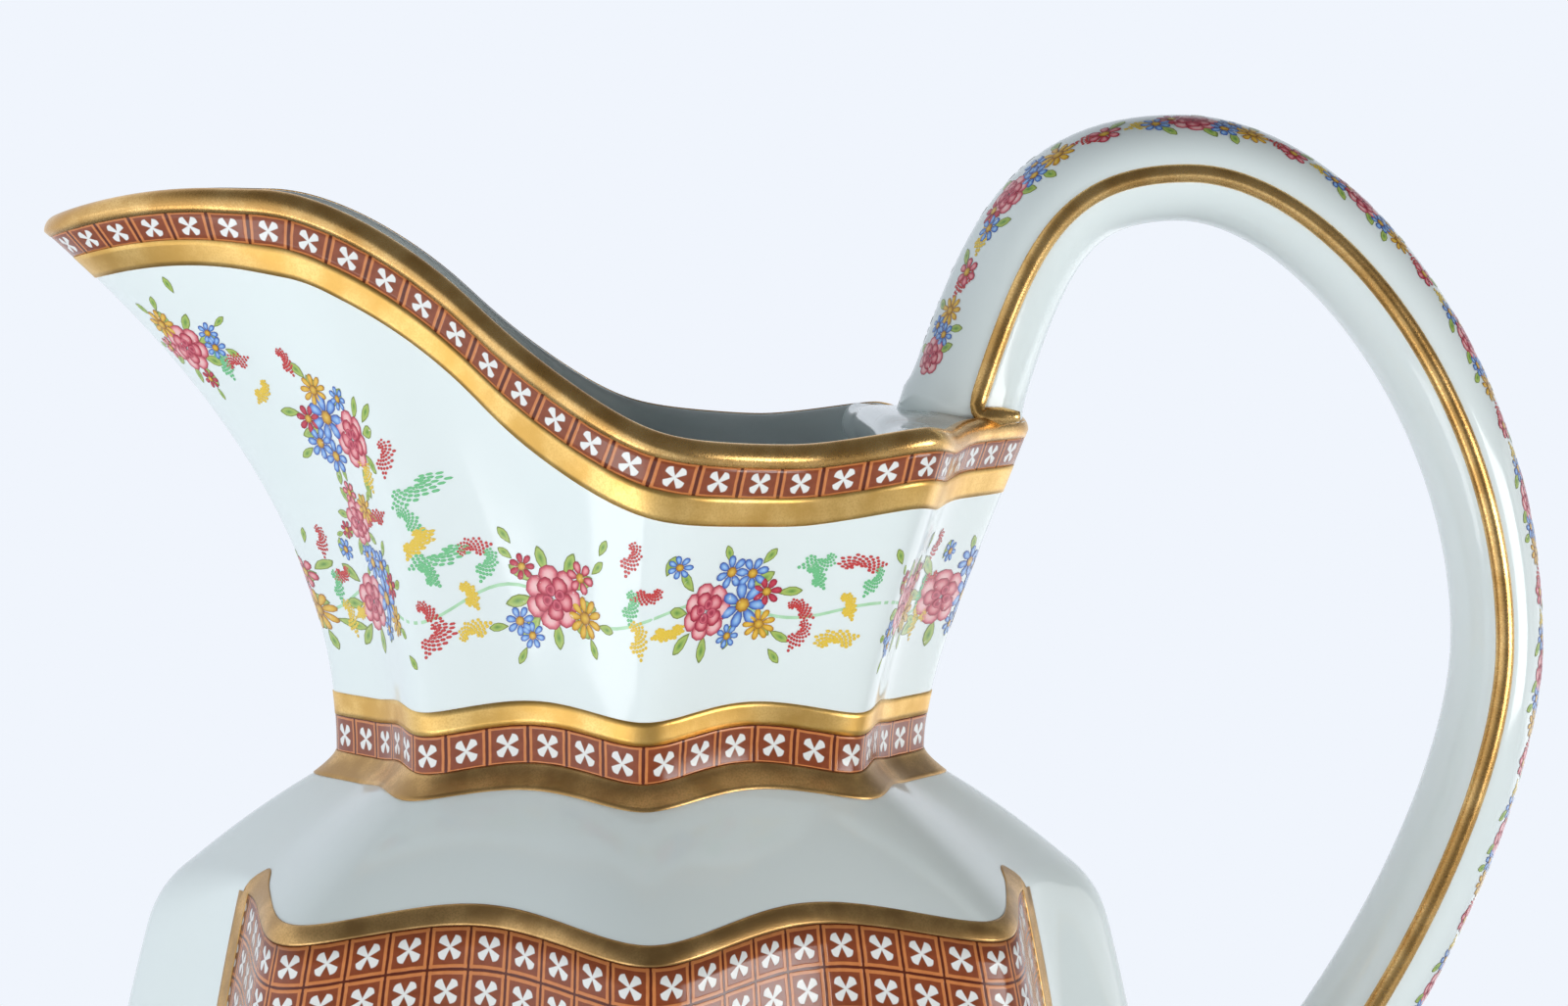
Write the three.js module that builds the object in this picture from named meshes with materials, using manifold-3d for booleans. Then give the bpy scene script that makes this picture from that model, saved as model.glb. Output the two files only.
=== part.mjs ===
// A porcelain ewer: a vessel with eight ridges and flutes, a helmet spout and one high looped handle.
// Millimetres, +Z up. The vessel is built round the Z axis with the handle on +X and the spout on -X;
// the finished group is then moved along X so that the origin lies under the middle of the whole jug.

import * as THREE from "three";
import { mergeVertices } from "three/addons/utils/BufferGeometryUtils.js";
import Module from "manifold-3d";

const manifold = await Module();
manifold.setup();
const { Manifold, Mesh: SolidMesh } = manifold;

// Fluting: depth of a flute for each millimetre of ridge radius. Radii below are ridge radii.
const FLUTES = 8;
const BODY_FLUTE = 0.135;
const NECK_FLUTE = 0.105;
const RIDGE_SOFTNESS = 0.34;
const FLUTE_STEPS = [0, 0.1, 0.25, 0.46, 0.54, 0.75, 0.9];

// Foot ring
const FOOT_HEIGHT = 10;
const FOOT_RADIUS = 57;
const FOOT_WAIST_RADIUS = 51;
const FOOT_RING_WIDTH = 6;
const FOOT_LINE_HEIGHT = 3.2;

// Body
const WALL = 4.2;
const FLOOR = 5;
const BELLY_RADIUS = 81;
const BELLY_HEIGHT = 102;
const SHOULDER_RADIUS = 70;
const SHOULDER_HEIGHT = 172.4;
const SHOULDER_FLARE = 0.27;
const SHOULDER_SCALLOP = 3.6;
const SHOULDER_CROWN = 0.6;
const PANEL_EDGE_ROLL = 1.7;
const PILLAR_EDGE_ROLL = 6;
const PANEL_FOOT = 40;
const PANEL_LINE = 3.6;

// Neck, spout and rim
const SEAT_RADIUS = 46.2;
const SEAT_HEIGHT = 189.2;
const WAIST_RADIUS = 43.6;
const WAIST_RISE = 3.2;
const WAIST_HEIGHT = SEAT_HEIGHT + WAIST_RISE;
const NECK_SCALLOP = 2.2;
const NECK_BORDER = 5.2;
const NECK_GOLD = 3.4;
const RIM_RADIUS = 58.6;
const RIM_HEIGHT = 241.4;
const RIM_WALL = 3.8;
const RIM_CROWN = 0.4;
const RIM_SCALLOP = 2.2;
const RIM_GOLD = 2.8;
const RIM_BORDER = 4.5;
const RIM_LOWER_GOLD = 4.3;
const SPOUT_REACH = 87.4;
const SPOUT_RISE = 32.8;
const SPOUT_RISE_START = 12;
const SPOUT_RISE_END = -56;
const SPOUT_DROOP = 4.5;
const SPOUT_DROOP_START = -62;
const LEDGE_CORNER = 0.8;
const LEDGE_REACH = 34.4;
const LEDGE_DEPTH = 7;

// Handle
const HANDLE_WIDTH = 20.2;
const HANDLE_ROOT = 17;
const HANDLE_CREST = 15.8;
const HANDLE_SIDE = 13.4;
const HANDLE_JOINT = 16;
const HANDLE_ROOT_X = 47.2;
const HANDLE_CREST_X = 81.4;
const HANDLE_CREST_HEIGHT = 278.8;
const HANDLE_SIDE_X = 130.2;
const HANDLE_SIDE_HEIGHT = 208;
const HANDLE_JOINT_HEIGHT = 116;
const HANDLE_STEPS = 40;
const BEAD_RADIUS = 1.4;
const BEAD_SINK = 0.5;
const BEAD_SHIFT = 0.8;

// Fits
const JOINT_GAP = 0.3;
const FILM_GAP = 0.15;
const FILM_THICKNESS = 0.25;
const FILM_SEAM = 0.15;

const POINTS = FLUTES * FLUTE_STEPS.length;
const FLUTE_ANGLE = (2 * Math.PI) / FLUTES;
const mix = THREE.MathUtils.lerp;
const { smoothstep, clamp } = THREE.MathUtils;

// Plan angles of the points of a ring; a ridge lies on every whole flute angle.
const turns = [];
for (let flute = 0; flute < FLUTES; flute += 1) {
  for (const step of FLUTE_STEPS) {
    turns.push((flute + step) * FLUTE_ANGLE);
  }
}

// 0 on a ridge and 1 in the middle of a flute, with the ridge rounded over.
function scallop(turn) {
  const wave = Math.sin((turn * FLUTES) / 2);
  const soft = RIDGE_SOFTNESS;
  return (Math.hypot(wave, soft) - soft) / (Math.hypot(1, soft) - soft);
}

// The four flutes beside the front and back ridges are 1, those beside the spout and the handle 0.
const faceShare = (turn) => smoothstep(Math.abs(Math.sin(turn)), 0.3, 0.8);

function onFlutes(turn, flute, radius, height, rise = 0) {
  const hollow = scallop(turn);
  const reach = radius * (1 - flute * hollow);
  return new THREE.Vector3(reach * Math.cos(turn), reach * Math.sin(turn), height + rise * hollow);
}

function flutedRing(flute, radius, height, rise = 0) {
  return turns.map((turn) => onFlutes(turn, flute, radius, height, rise));
}

// Rings of the neck wave up and down on the faces only.
function neckRing(radius, height) {
  return turns.map((turn) => onFlutes(turn, NECK_FLUTE, radius, height, NECK_SCALLOP * faceShare(turn)));
}

// Surfaces as rows of ring points, with the outward normal at each point.
function surface(rows) {
  const last = rows.length - 1;
  const normals = rows.map((row, r) => row.map((point, i) => {
    const along = row[(i + 1) % POINTS].clone().sub(row[(i + POINTS - 1) % POINTS]);
    const up = rows[Math.min(r + 1, last)][i].clone().sub(rows[Math.max(r - 1, 0)][i]);
    return along.cross(up).normalize();
  }));
  return { rows, normals };
}

function liftedRow({ rows, normals }, r, lift) {
  return rows[r].map((point, i) => point.clone().addScaledVector(normals[r][i], lift));
}

// A ring moved inwards in plan by a distance.
function insetRing(ring, distance) {
  return ring.map((point, i) => {
    const along = ring[(i + 1) % POINTS].clone().sub(ring[(i + POINTS - 1) % POINTS]);
    const outward = new THREE.Vector3(along.y, -along.x, 0).normalize();
    return point.clone().addScaledVector(outward, -distance);
  });
}

function meshGeometry(points, faces) {
  const geometry = new THREE.BufferGeometry();
  const coordinates = points.flatMap((point) => point.toArray());
  geometry.setAttribute("position", new THREE.Float32BufferAttribute(coordinates, 3));
  geometry.setIndex(faces);
  return geometry;
}

// Skin over a list of equal rings: joined back to the first ring, or closed by a fan at each end.
function loft(rings, looped) {
  const count = rings[0].length;
  const points = rings.flat();
  const faces = [];
  const spans = looped ? rings.length : rings.length - 1;
  for (let r = 0; r < spans; r += 1) {
    const low = r * count;
    const high = ((r + 1) % rings.length) * count;
    for (let i = 0; i < count; i += 1) {
      const j = (i + 1) % count;
      faces.push(low + i, low + j, high + j, low + i, high + j, high + i);
    }
  }
  if (!looped) {
    const centre = (ring) => ring.reduce((sum, p) => sum.add(p), new THREE.Vector3()).divideScalar(count);
    const top = (rings.length - 1) * count;
    points.push(centre(rings[0]), centre(rings[rings.length - 1]));
    for (let i = 0; i < count; i += 1) {
      const j = (i + 1) % count;
      faces.push(points.length - 2, j, i);
      faces.push(points.length - 1, top + i, top + j);
    }
  }
  return meshGeometry(points, faces);
}

// A fired film over the cells of a surface that covers(row, column) picks. Its edges are drawn in a
// little, so that films that lie side by side stay apart.
function film({ rows, normals }, covers) {
  const points = [];
  const faces = [];
  const known = new Map();
  const wrapped = (i) => (i + POINTS) % POINTS;
  const picked = (r, i) => r >= 0 && r < rows.length - 1 && covers(r, wrapped(i));
  const drawnIn = (r, i) => {
    const start = rows[r][wrapped(i)];
    const point = start.clone();
    const pull = (row, column) => {
      point.add(rows[row][wrapped(column)].clone().sub(start).setLength(FILM_SEAM));
    };
    if (!picked(r - 1, i - 1) && !picked(r - 1, i)) pull(r + 1, i);
    if (!picked(r, i - 1) && !picked(r, i)) pull(r - 1, i);
    if (!picked(r - 1, i - 1) && !picked(r, i - 1)) pull(r, i + 1);
    if (!picked(r - 1, i) && !picked(r, i)) pull(r, i - 1);
    return point;
  };
  const vertex = (r, i, lift) => {
    const key = `${r}/${wrapped(i)}/${lift}`;
    if (!known.has(key)) {
      known.set(key, points.length);
      points.push(drawnIn(r, i).addScaledVector(normals[r][wrapped(i)], lift));
    }
    return known.get(key);
  };
  const quad = (a, b, c, d) => faces.push(a, b, c, a, c, d);
  for (let r = 0; r < rows.length - 1; r += 1) {
    for (let i = 0; i < POINTS; i += 1) {
      if (!picked(r, i)) continue;
      const corners = [[r, i], [r, i + 1], [r + 1, i + 1], [r + 1, i]];
      const neighbours = [[r - 1, i], [r, i + 1], [r + 1, i], [r, i - 1]];
      const top = corners.map(([row, column]) => vertex(row, column, FILM_GAP + FILM_THICKNESS));
      const under = corners.map(([row, column]) => vertex(row, column, FILM_GAP));
      quad(...top);
      quad(under[2], under[1], under[0], under[3]);
      neighbours.forEach(([row, column], side) => {
        const next = (side + 1) % 4;
        if (!picked(row, column)) quad(top[next], top[side], under[side], under[next]);
      });
    }
  }
  return meshGeometry(points, faces);
}

function solidOf(geometry) {
  const clean = mergeVertices(geometry, 1e-4);
  return new Manifold(new SolidMesh({
    numProp: 3,
    vertProperties: new Float32Array(clean.attributes.position.array),
    triVerts: new Uint32Array(clean.index.array),
  }));
}

function geometryOf(solid) {
  const mesh = solid.getMesh();
  const geometry = new THREE.BufferGeometry();
  geometry.setAttribute("position", new THREE.Float32BufferAttribute(mesh.vertProperties, 3));
  geometry.setIndex([...mesh.triVerts]);
  return geometry;
}

// Body: ridge profile from the foot up to the shoulder edge, then the sloping shoulder up to the neck seat.
const bodyStart = FOOT_HEIGHT + JOINT_GAP;
const lowerProfile = new THREE.CubicBezierCurve(
  new THREE.Vector2(FOOT_WAIST_RADIUS, bodyStart),
  new THREE.Vector2(mix(FOOT_WAIST_RADIUS, BELLY_RADIUS, 0.45), mix(bodyStart, BELLY_HEIGHT, 0.12)),
  new THREE.Vector2(BELLY_RADIUS, mix(bodyStart, BELLY_HEIGHT, 0.5)),
  new THREE.Vector2(BELLY_RADIUS, BELLY_HEIGHT),
);
const upperRun = (SHOULDER_HEIGHT - BELLY_HEIGHT) / 3;
const upperProfile = new THREE.CubicBezierCurve(
  new THREE.Vector2(BELLY_RADIUS, BELLY_HEIGHT),
  new THREE.Vector2(BELLY_RADIUS, BELLY_HEIGHT + upperRun),
  new THREE.Vector2(SHOULDER_RADIUS + SHOULDER_FLARE * upperRun, SHOULDER_HEIGHT - upperRun),
  new THREE.Vector2(SHOULDER_RADIUS, SHOULDER_HEIGHT),
);

function ridgeRadius(height) {
  const profile = height < BELLY_HEIGHT ? lowerProfile : upperProfile;
  let low = 0;
  let high = 1;
  for (let pass = 0; pass < 40; pass += 1) {
    const middle = (low + high) / 2;
    if (profile.getPoint(middle).y < height) low = middle;
    else high = middle;
  }
  return profile.getPoint(low).x;
}

function wallRing(height) {
  const rise = SHOULDER_SCALLOP * smoothstep(height, BELLY_HEIGHT, SHOULDER_HEIGHT);
  return flutedRing(BODY_FLUTE, ridgeRadius(height), height, rise);
}

// The shoulder edge is rolled over tightly above the panels and softly above the spout and handle pillars.
const shoulderEdge = flutedRing(BODY_FLUTE, SHOULDER_RADIUS, SHOULDER_HEIGHT, SHOULDER_SCALLOP);
const seatRing = neckRing(SEAT_RADIUS, SEAT_HEIGHT);
const edgeRoll = turns.map((turn) => {
  const aside = Math.abs(Math.sin(turn));
  return mix(PILLAR_EDGE_ROLL, PANEL_EDGE_ROLL, smoothstep(aside, 0.1, 0.38));
});
const towards = (from, to, distance) => from.clone().add(to.clone().sub(from).setLength(distance));
const rollBase = wallRing(SHOULDER_HEIGHT - PILLAR_EDGE_ROLL);
const edgeBelow = shoulderEdge.map((point, i) => towards(point, rollBase[i], edgeRoll[i]));
const edgeAbove = shoulderEdge.map((point, i) => towards(point, seatRing[i], edgeRoll[i]));
const edgeCrown = edgeBelow.map((point, i) => {
  const chord = point.clone().lerp(edgeAbove[i], 0.5);
  return chord.lerp(shoulderEdge[i], 0.5);
});
const shoulderMiddle = edgeAbove.map((point, i) => {
  const middle = point.clone().lerp(seatRing[i], 0.5);
  middle.z += SHOULDER_CROWN;
  return middle;
});

const panelTop = SHOULDER_HEIGHT - PILLAR_EDGE_ROLL * 1.35;
const panelBase = PANEL_FOOT - PANEL_LINE;
const wallHeights = [bodyStart, mix(bodyStart, panelBase, 0.45), panelBase, PANEL_FOOT];
for (let step = 1; step <= 5; step += 1) {
  wallHeights.push(mix(PANEL_FOOT, panelTop, step / 5));
}
const bodyOuter = surface([
  ...wallHeights.map(wallRing), edgeBelow, edgeCrown, edgeAbove, shoulderMiddle, seatRing,
]);
const EDGE_ROW = wallHeights.length;
const PANEL_ROW = wallHeights.indexOf(PANEL_FOOT);

const floorHeight = bodyStart + FLOOR;
const floorRing = flutedRing(BODY_FLUTE, ridgeRadius(floorHeight) - WALL, floorHeight);
const bodyInnerRows = [3, 5, 6, 7, 8].map((r) => liftedRow(bodyOuter, r, -WALL));
const mouthRing = neckRing(WAIST_RADIUS - WALL, SEAT_HEIGHT);
const bodyGeometry = loft([
  ...bodyOuter.rows,
  mouthRing,
  liftedRow(bodyOuter, EDGE_ROW + 3, -WALL),
  liftedRow(bodyOuter, EDGE_ROW + 1, -WALL),
  ...bodyInnerRows.reverse(),
  floorRing,
], false);

// Foot ring: stands on a flat face, narrows to the waist under the body and is hollow beneath.
const footOuter = surface([
  flutedRing(BODY_FLUTE, FOOT_RADIUS, 0),
  flutedRing(BODY_FLUTE, FOOT_RADIUS, FOOT_LINE_HEIGHT),
  flutedRing(BODY_FLUTE, FOOT_WAIST_RADIUS, FOOT_HEIGHT),
]);
const footGeometry = loft([
  ...footOuter.rows,
  flutedRing(BODY_FLUTE, FOOT_WAIST_RADIUS - FOOT_RING_WIDTH, FOOT_HEIGHT),
  flutedRing(BODY_FLUTE, FOOT_RADIUS - FOOT_RING_WIDTH, 0),
], true);

// Rim: fluted on the handle side; on the spout side two mirrored curves run out to the pouring lip.
function rimHeight(x) {
  const rise = SPOUT_RISE * smoothstep(-x, -SPOUT_RISE_START, -SPOUT_RISE_END);
  const past = clamp((SPOUT_DROOP_START - x) / (SPOUT_REACH + SPOUT_DROOP_START), 0, 1);
  return RIM_HEIGHT + rise - SPOUT_DROOP * past * past;
}

const spoutOutline = new THREE.CubicBezierCurve(
  new THREE.Vector2(0, RIM_RADIUS),
  new THREE.Vector2(-SPOUT_REACH * 0.16, RIM_RADIUS * 0.63),
  new THREE.Vector2(-SPOUT_REACH, RIM_RADIUS * 0.5),
  new THREE.Vector2(-SPOUT_REACH, 0),
);

const rimRing = turns.map((turn) => {
  if (Math.cos(turn) > -1e-6) {
    const reach = RIM_RADIUS + LEDGE_CORNER * Math.cos(turn) ** 4;
    const point = onFlutes(turn, NECK_FLUTE, reach, 0, -RIM_SCALLOP * faceShare(turn));
    point.z += rimHeight(point.x);
    return point;
  }
  const way = clamp(1 - Math.abs(turn - Math.PI) / (Math.PI / 2), 0, 1);
  const plan = spoutOutline.getPoint(way);
  return new THREE.Vector3(plan.x, turn < Math.PI ? plan.y : -plan.y, rimHeight(plan.x));
});

// Neck: each meridian climbs from the waist and leans out to the rim, far more on the spout side.
const waistRing = neckRing(WAIST_RADIUS, WAIST_HEIGHT);
const meridians = turns.map((turn, i) => {
  const spout = smoothstep(-Math.cos(turn), 0, 1);
  const low = waistRing[i];
  const high = rimRing[i];
  const first = low.clone();
  first.z = mix(low.z, high.z, mix(0.24, 0.39, spout));
  const second = low.clone().lerp(high, mix(0.6, 0.44, spout));
  second.z = mix(low.z, high.z, mix(0.66, 0.73, spout));
  return new THREE.CubicBezierCurve3(low, first, second, high);
});
const alongNeck = (place) => meridians.map((line) => {
  const length = line.getLength();
  return line.getPointAt(clamp(place(length) / length, 0, 1));
});
const neckBandTop = NECK_BORDER + NECK_GOLD;
const rimBands = RIM_GOLD + RIM_BORDER + RIM_LOWER_GOLD;
const between = (share) => alongNeck((length) => mix(neckBandTop, length - rimBands, share));
const coveRadius = mix(SEAT_RADIUS, WAIST_RADIUS, 0.68);
const coveRing = neckRing(coveRadius, mix(SEAT_HEIGHT, WAIST_HEIGHT, 0.32));
const neckSeat = seatRing.map((point) => point.clone().setZ(point.z + JOINT_GAP));
const rimInset = insetRing(rimRing, RIM_WALL / 2);
rimInset.forEach((point) => {
  point.z += RIM_CROWN;
});

const WAIST_ROW = 2;
const NECK_GOLD_ROW = 4;
const RIM_ROW = 11;
const neckOuter = surface([
  neckSeat,
  coveRing,
  waistRing,
  alongNeck(() => NECK_BORDER),
  alongNeck(() => neckBandTop),
  between(0.25),
  between(0.5),
  between(0.75),
  alongNeck((length) => length - rimBands),
  alongNeck((length) => length - RIM_GOLD - RIM_BORDER),
  alongNeck((length) => length - RIM_GOLD),
  rimRing,
  rimInset,
]);

// The ledge on the handle side closes the mouth up to a straight edge.
const closedByLedge = (ring) => ring.map((point) => point.clone().setX(Math.min(point.x, LEDGE_REACH)));
const neckInner = (r) => liftedRow(neckOuter, r, -WALL);
const ledgeUnderside = closedByLedge(neckInner(RIM_ROW - 2).map((point) => {
  return point.x > LEDGE_REACH ? point.setZ(RIM_HEIGHT - LEDGE_DEPTH) : point;
}));
const neckGeometry = loft([
  ...neckOuter.rows,
  closedByLedge(insetRing(rimRing, RIM_WALL)),
  ledgeUnderside,
  neckInner(NECK_GOLD_ROW + 3),
  neckInner(NECK_GOLD_ROW + 1),
  neckRing(WAIST_RADIUS - WALL, WAIST_HEIGHT),
  neckRing(WAIST_RADIUS - WALL, SEAT_HEIGHT + 2 * JOINT_GAP),
], true);

// Handle: a loop in the plane of the spout, from the ledge over the crest and down into the body's pillar.
const jointX = ridgeRadius(HANDLE_JOINT_HEIGHT) - WALL;
const inPlane = (x, z) => new THREE.Vector3(x, 0, z);
const handleLine = new THREE.CurvePath();
const rootHeight = RIM_HEIGHT - HANDLE_ROOT / 4;
handleLine.add(new THREE.CubicBezierCurve3(
  inPlane(HANDLE_ROOT_X, rootHeight),
  inPlane(mix(HANDLE_ROOT_X, HANDLE_CREST_X, 0.26), mix(rootHeight, HANDLE_CREST_HEIGHT, 0.69)),
  inPlane(mix(HANDLE_ROOT_X, HANDLE_CREST_X, 0.38), HANDLE_CREST_HEIGHT),
  inPlane(HANDLE_CREST_X, HANDLE_CREST_HEIGHT),
));
handleLine.add(new THREE.CubicBezierCurve3(
  inPlane(HANDLE_CREST_X, HANDLE_CREST_HEIGHT),
  inPlane(mix(HANDLE_CREST_X, HANDLE_SIDE_X, 0.46), HANDLE_CREST_HEIGHT),
  inPlane(HANDLE_SIDE_X, mix(HANDLE_CREST_HEIGHT, HANDLE_SIDE_HEIGHT, 0.49)),
  inPlane(HANDLE_SIDE_X, HANDLE_SIDE_HEIGHT),
));
handleLine.add(new THREE.CubicBezierCurve3(
  inPlane(HANDLE_SIDE_X, HANDLE_SIDE_HEIGHT),
  inPlane(HANDLE_SIDE_X, mix(HANDLE_SIDE_HEIGHT, HANDLE_JOINT_HEIGHT, 0.3)),
  inPlane(mix(HANDLE_SIDE_X, jointX, 0.5), mix(HANDLE_SIDE_HEIGHT, HANDLE_JOINT_HEIGHT, 0.83)),
  inPlane(jointX, HANDLE_JOINT_HEIGHT),
));

// Its thickness runs smoothly between the root, the crest, the side and the joint on the body.
const handleLengths = handleLine.getCurveLengths();
const handleLength = handleLengths[2];
const thicknessStations = [
  [0, HANDLE_ROOT],
  [handleLengths[0] / handleLength, HANDLE_CREST],
  [handleLengths[1] / handleLength, HANDLE_SIDE],
  [1, HANDLE_JOINT],
];
function handleThickness(place) {
  let thickness = HANDLE_ROOT;
  for (let i = 1; i < thicknessStations.length; i += 1) {
    const [from, before] = thicknessStations[i - 1];
    const [to, after] = thicknessStations[i];
    if (place >= from) thickness = mix(before, after, smoothstep(place, from, to));
  }
  return thickness;
}

// Section of the handle: an oval with a groove at each edge for the gilt bead.
// In a section x runs away from the loop and y towards the front.
const beadPlace = HANDLE_WIDTH / 2 - BEAD_SINK;
function handleSection(place) {
  const halfThickness = handleThickness(place) / 2;
  const groove = (BEAD_RADIUS + FILM_GAP) / Math.cos(Math.PI / 8);
  const section = [];
  for (const face of [1, -1]) {
    for (let step = 0; step <= 6; step += 1) {
      const angle = THREE.MathUtils.degToRad(mix(-72, 72, step / 6));
      const along = halfThickness * Math.cos(angle);
      section.push(new THREE.Vector2(face * along, (face * HANDLE_WIDTH * Math.sin(angle)) / 2));
    }
    for (let step = 0; step <= 4; step += 1) {
      const angle = (Math.PI * step) / 4;
      const across = beadPlace - groove * Math.sin(angle);
      section.push(new THREE.Vector2(face * groove * Math.cos(angle) - BEAD_SHIFT, face * across));
    }
  }
  return section;
}

function beadSection(face) {
  const section = [];
  for (let step = 0; step < 8; step += 1) {
    const angle = (2 * Math.PI * (step + 0.5)) / 8;
    const across = face * beadPlace + BEAD_RADIUS * Math.sin(angle);
    section.push(new THREE.Vector2(BEAD_RADIUS * Math.cos(angle) - BEAD_SHIFT, across));
  }
  return section;
}

function alongHandle(sectionAt) {
  const rings = [];
  for (let step = 0; step <= HANDLE_STEPS; step += 1) {
    const place = step / HANDLE_STEPS;
    const centre = handleLine.getPointAt(place);
    const run = handleLine.getTangentAt(place);
    const away = new THREE.Vector3(-run.z, 0, run.x);
    rings.push(sectionAt(place).map((point) => {
      const at = centre.clone().addScaledVector(away, point.x);
      at.y -= point.y;
      return at;
    }));
  }
  return loft(rings, false);
}

// Both ends are fitted: the root over the ledge and its gilding, the lower end to the wall of the body.
const overLedge = FILM_GAP + FILM_THICKNESS + JOINT_GAP;
const ledge = solidOf(neckGeometry.clone().translate(0, 0, overLedge));
const rimPlan = liftedRow(neckOuter, RIM_ROW, overLedge).map((point) => point.setZ(RIM_HEIGHT + overLedge));
const underLedge = solidOf(loft([rimPlan.map((point) => point.clone().setZ(SEAT_HEIGHT)), rimPlan], false));
const wall = solidOf(loft(bodyOuter.rows.map((row, r) => liftedRow(bodyOuter, r, JOINT_GAP)), false));
function seated(geometry) {
  return geometryOf(solidOf(geometry).subtract(ledge).subtract(underLedge).subtract(wall));
}

// Panels: three flute widths wide on the front and on the back, framed by a gold line.
const columns = FLUTE_STEPS.length;
const frameStep = 3;
function panelColumn(i, middleRidge) {
  const from = (middleRidge - 2) * columns + frameStep;
  return (i - from + POINTS) % POINTS;
}
const panelSpan = 3 * columns;
const inPanel = (i, ridge) => panelColumn(i, ridge) <= panelSpan;
const onFrame = (i, ridge) => panelColumn(i, ridge) === 0 || panelColumn(i, ridge) === panelSpan;
const checks = (ridge) => film(bodyOuter, (r, i) => {
  return r >= PANEL_ROW && r < EDGE_ROW && inPanel(i, ridge) && !onFrame(i, ridge);
});
const frame = (ridge) => film(bodyOuter, (r, i) => {
  if (r < PANEL_ROW - 1 || r > EDGE_ROW + 1 || !inPanel(i, ridge)) return false;
  return r < PANEL_ROW || r >= EDGE_ROW || onFrame(i, ridge);
});

// Finishes
const porcelain = new THREE.MeshStandardMaterial({ color: 0xdde6e4, roughness: 0.12, metalness: 0 });
const gilding = new THREE.MeshStandardMaterial({ color: 0xc8923e, roughness: 0.32, metalness: 0.9 });
const border = new THREE.MeshStandardMaterial({ color: 0x87401f, roughness: 0.25, metalness: 0 });

const jug = new THREE.Group();
function add(name, geometry, material) {
  const mesh = new THREE.Mesh(geometry, material);
  mesh.name = name;
  jug.add(mesh);
}

const FRONT_RIDGE = 6;
const BACK_RIDGE = 2;
add("foot_ring", footGeometry, porcelain);
add("foot_gilding", film(footOuter, (r) => r === 0), gilding);
add("vessel_body", bodyGeometry, porcelain);
add("front_panel", checks(FRONT_RIDGE), border);
add("front_panel_gilding", frame(FRONT_RIDGE), gilding);
add("back_panel", checks(BACK_RIDGE), border);
add("back_panel_gilding", frame(BACK_RIDGE), gilding);
add("neck_spout", neckGeometry, porcelain);
add("neck_cove_gilding", film(neckOuter, (r) => r < WAIST_ROW), gilding);
add("neck_border", film(neckOuter, (r) => r === WAIST_ROW), border);
add("neck_upper_gilding", film(neckOuter, (r) => r === NECK_GOLD_ROW - 1), gilding);
add("rim_lower_gilding", film(neckOuter, (r) => r === RIM_ROW - 3), gilding);
add("rim_border", film(neckOuter, (r) => r === RIM_ROW - 2), border);
add("rim_gilding", film(neckOuter, (r) => r >= RIM_ROW - 1), gilding);
add("loop_handle", seated(alongHandle(handleSection)), porcelain);
add("handle_bead_front", seated(alongHandle(() => beadSection(1))), gilding);
add("handle_bead_back", seated(alongHandle(() => beadSection(-1))), gilding);

const extent = new THREE.Box3().setFromObject(jug);
jug.position.x = -(extent.min.x + extent.max.x) / 2;

const ewer = new THREE.Group();
ewer.name = "ewer";
ewer.add(jug);
ewer.updateMatrixWorld(true);
export default ewer;
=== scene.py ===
import bisect
import math
import bmesh
import bpy
from mathutils import Matrix, Vector


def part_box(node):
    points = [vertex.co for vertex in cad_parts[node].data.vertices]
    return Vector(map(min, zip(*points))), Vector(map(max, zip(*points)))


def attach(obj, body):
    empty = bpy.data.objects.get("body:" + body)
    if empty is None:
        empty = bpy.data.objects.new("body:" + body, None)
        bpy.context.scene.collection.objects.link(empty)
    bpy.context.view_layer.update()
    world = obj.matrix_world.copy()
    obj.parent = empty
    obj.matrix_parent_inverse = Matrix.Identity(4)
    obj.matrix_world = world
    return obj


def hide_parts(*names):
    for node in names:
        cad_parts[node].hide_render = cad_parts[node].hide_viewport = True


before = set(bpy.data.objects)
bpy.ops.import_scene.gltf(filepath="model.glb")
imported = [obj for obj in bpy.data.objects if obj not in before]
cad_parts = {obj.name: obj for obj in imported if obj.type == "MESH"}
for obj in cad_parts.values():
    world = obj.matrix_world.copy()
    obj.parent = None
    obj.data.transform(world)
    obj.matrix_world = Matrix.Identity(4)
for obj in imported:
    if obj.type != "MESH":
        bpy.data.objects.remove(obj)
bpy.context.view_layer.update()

# Vessel body
# The slip-cast porcelain body: eight ridges with hollow flutes between them, a full belly and a shoulder
# that slopes in to the seat of the neck. It is cast in a plaster mould, dipped in a clear pale green glaze
# and fired.

RIDGES = 8
RIDGE_SOFTNESS = 0.34
BODY_FLUTE = 0.135
BODY_FOOT = (51.0, 10.1)
BELLY = (80.9, 102.0)
SHOULDER = (70.0, 172.4)
SHOULDER_SCALLOP = 3.6
SHOULDER_CROWN = 2.4
SIDE_ROLL = 6.0
FACE_ROLL = 1.7
NECK_FLUTE = 0.105
NECK_SCALLOP = 2.2
SEAT = (46.2, 189.2)
MOUTH_RADIUS = 39.4
BODY_WALL = 4.2
FLOOR_HEIGHT = 15.3
COLUMNS_PER_FLUTE = 44
COLUMN_CROWDING = 0.62
COLUMNS = RIDGES * COLUMNS_PER_FLUTE

body_low, body_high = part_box("vessel_body")
axis_x = (body_low[0] + body_high[0]) / 2


def mix(low, high, share):
    return low + (high - low) * share


def ease(value, low, high):
    share = min(max((value - low) / (high - low), 0.0), 1.0)
    return share * share * (3 - 2 * share)


def bezier(a, b, c, d, t):
    s = 1 - t
    return a * (s * s * s) + b * (3 * s * s * t) + c * (3 * s * t * t) + d * (t * t * t)


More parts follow.
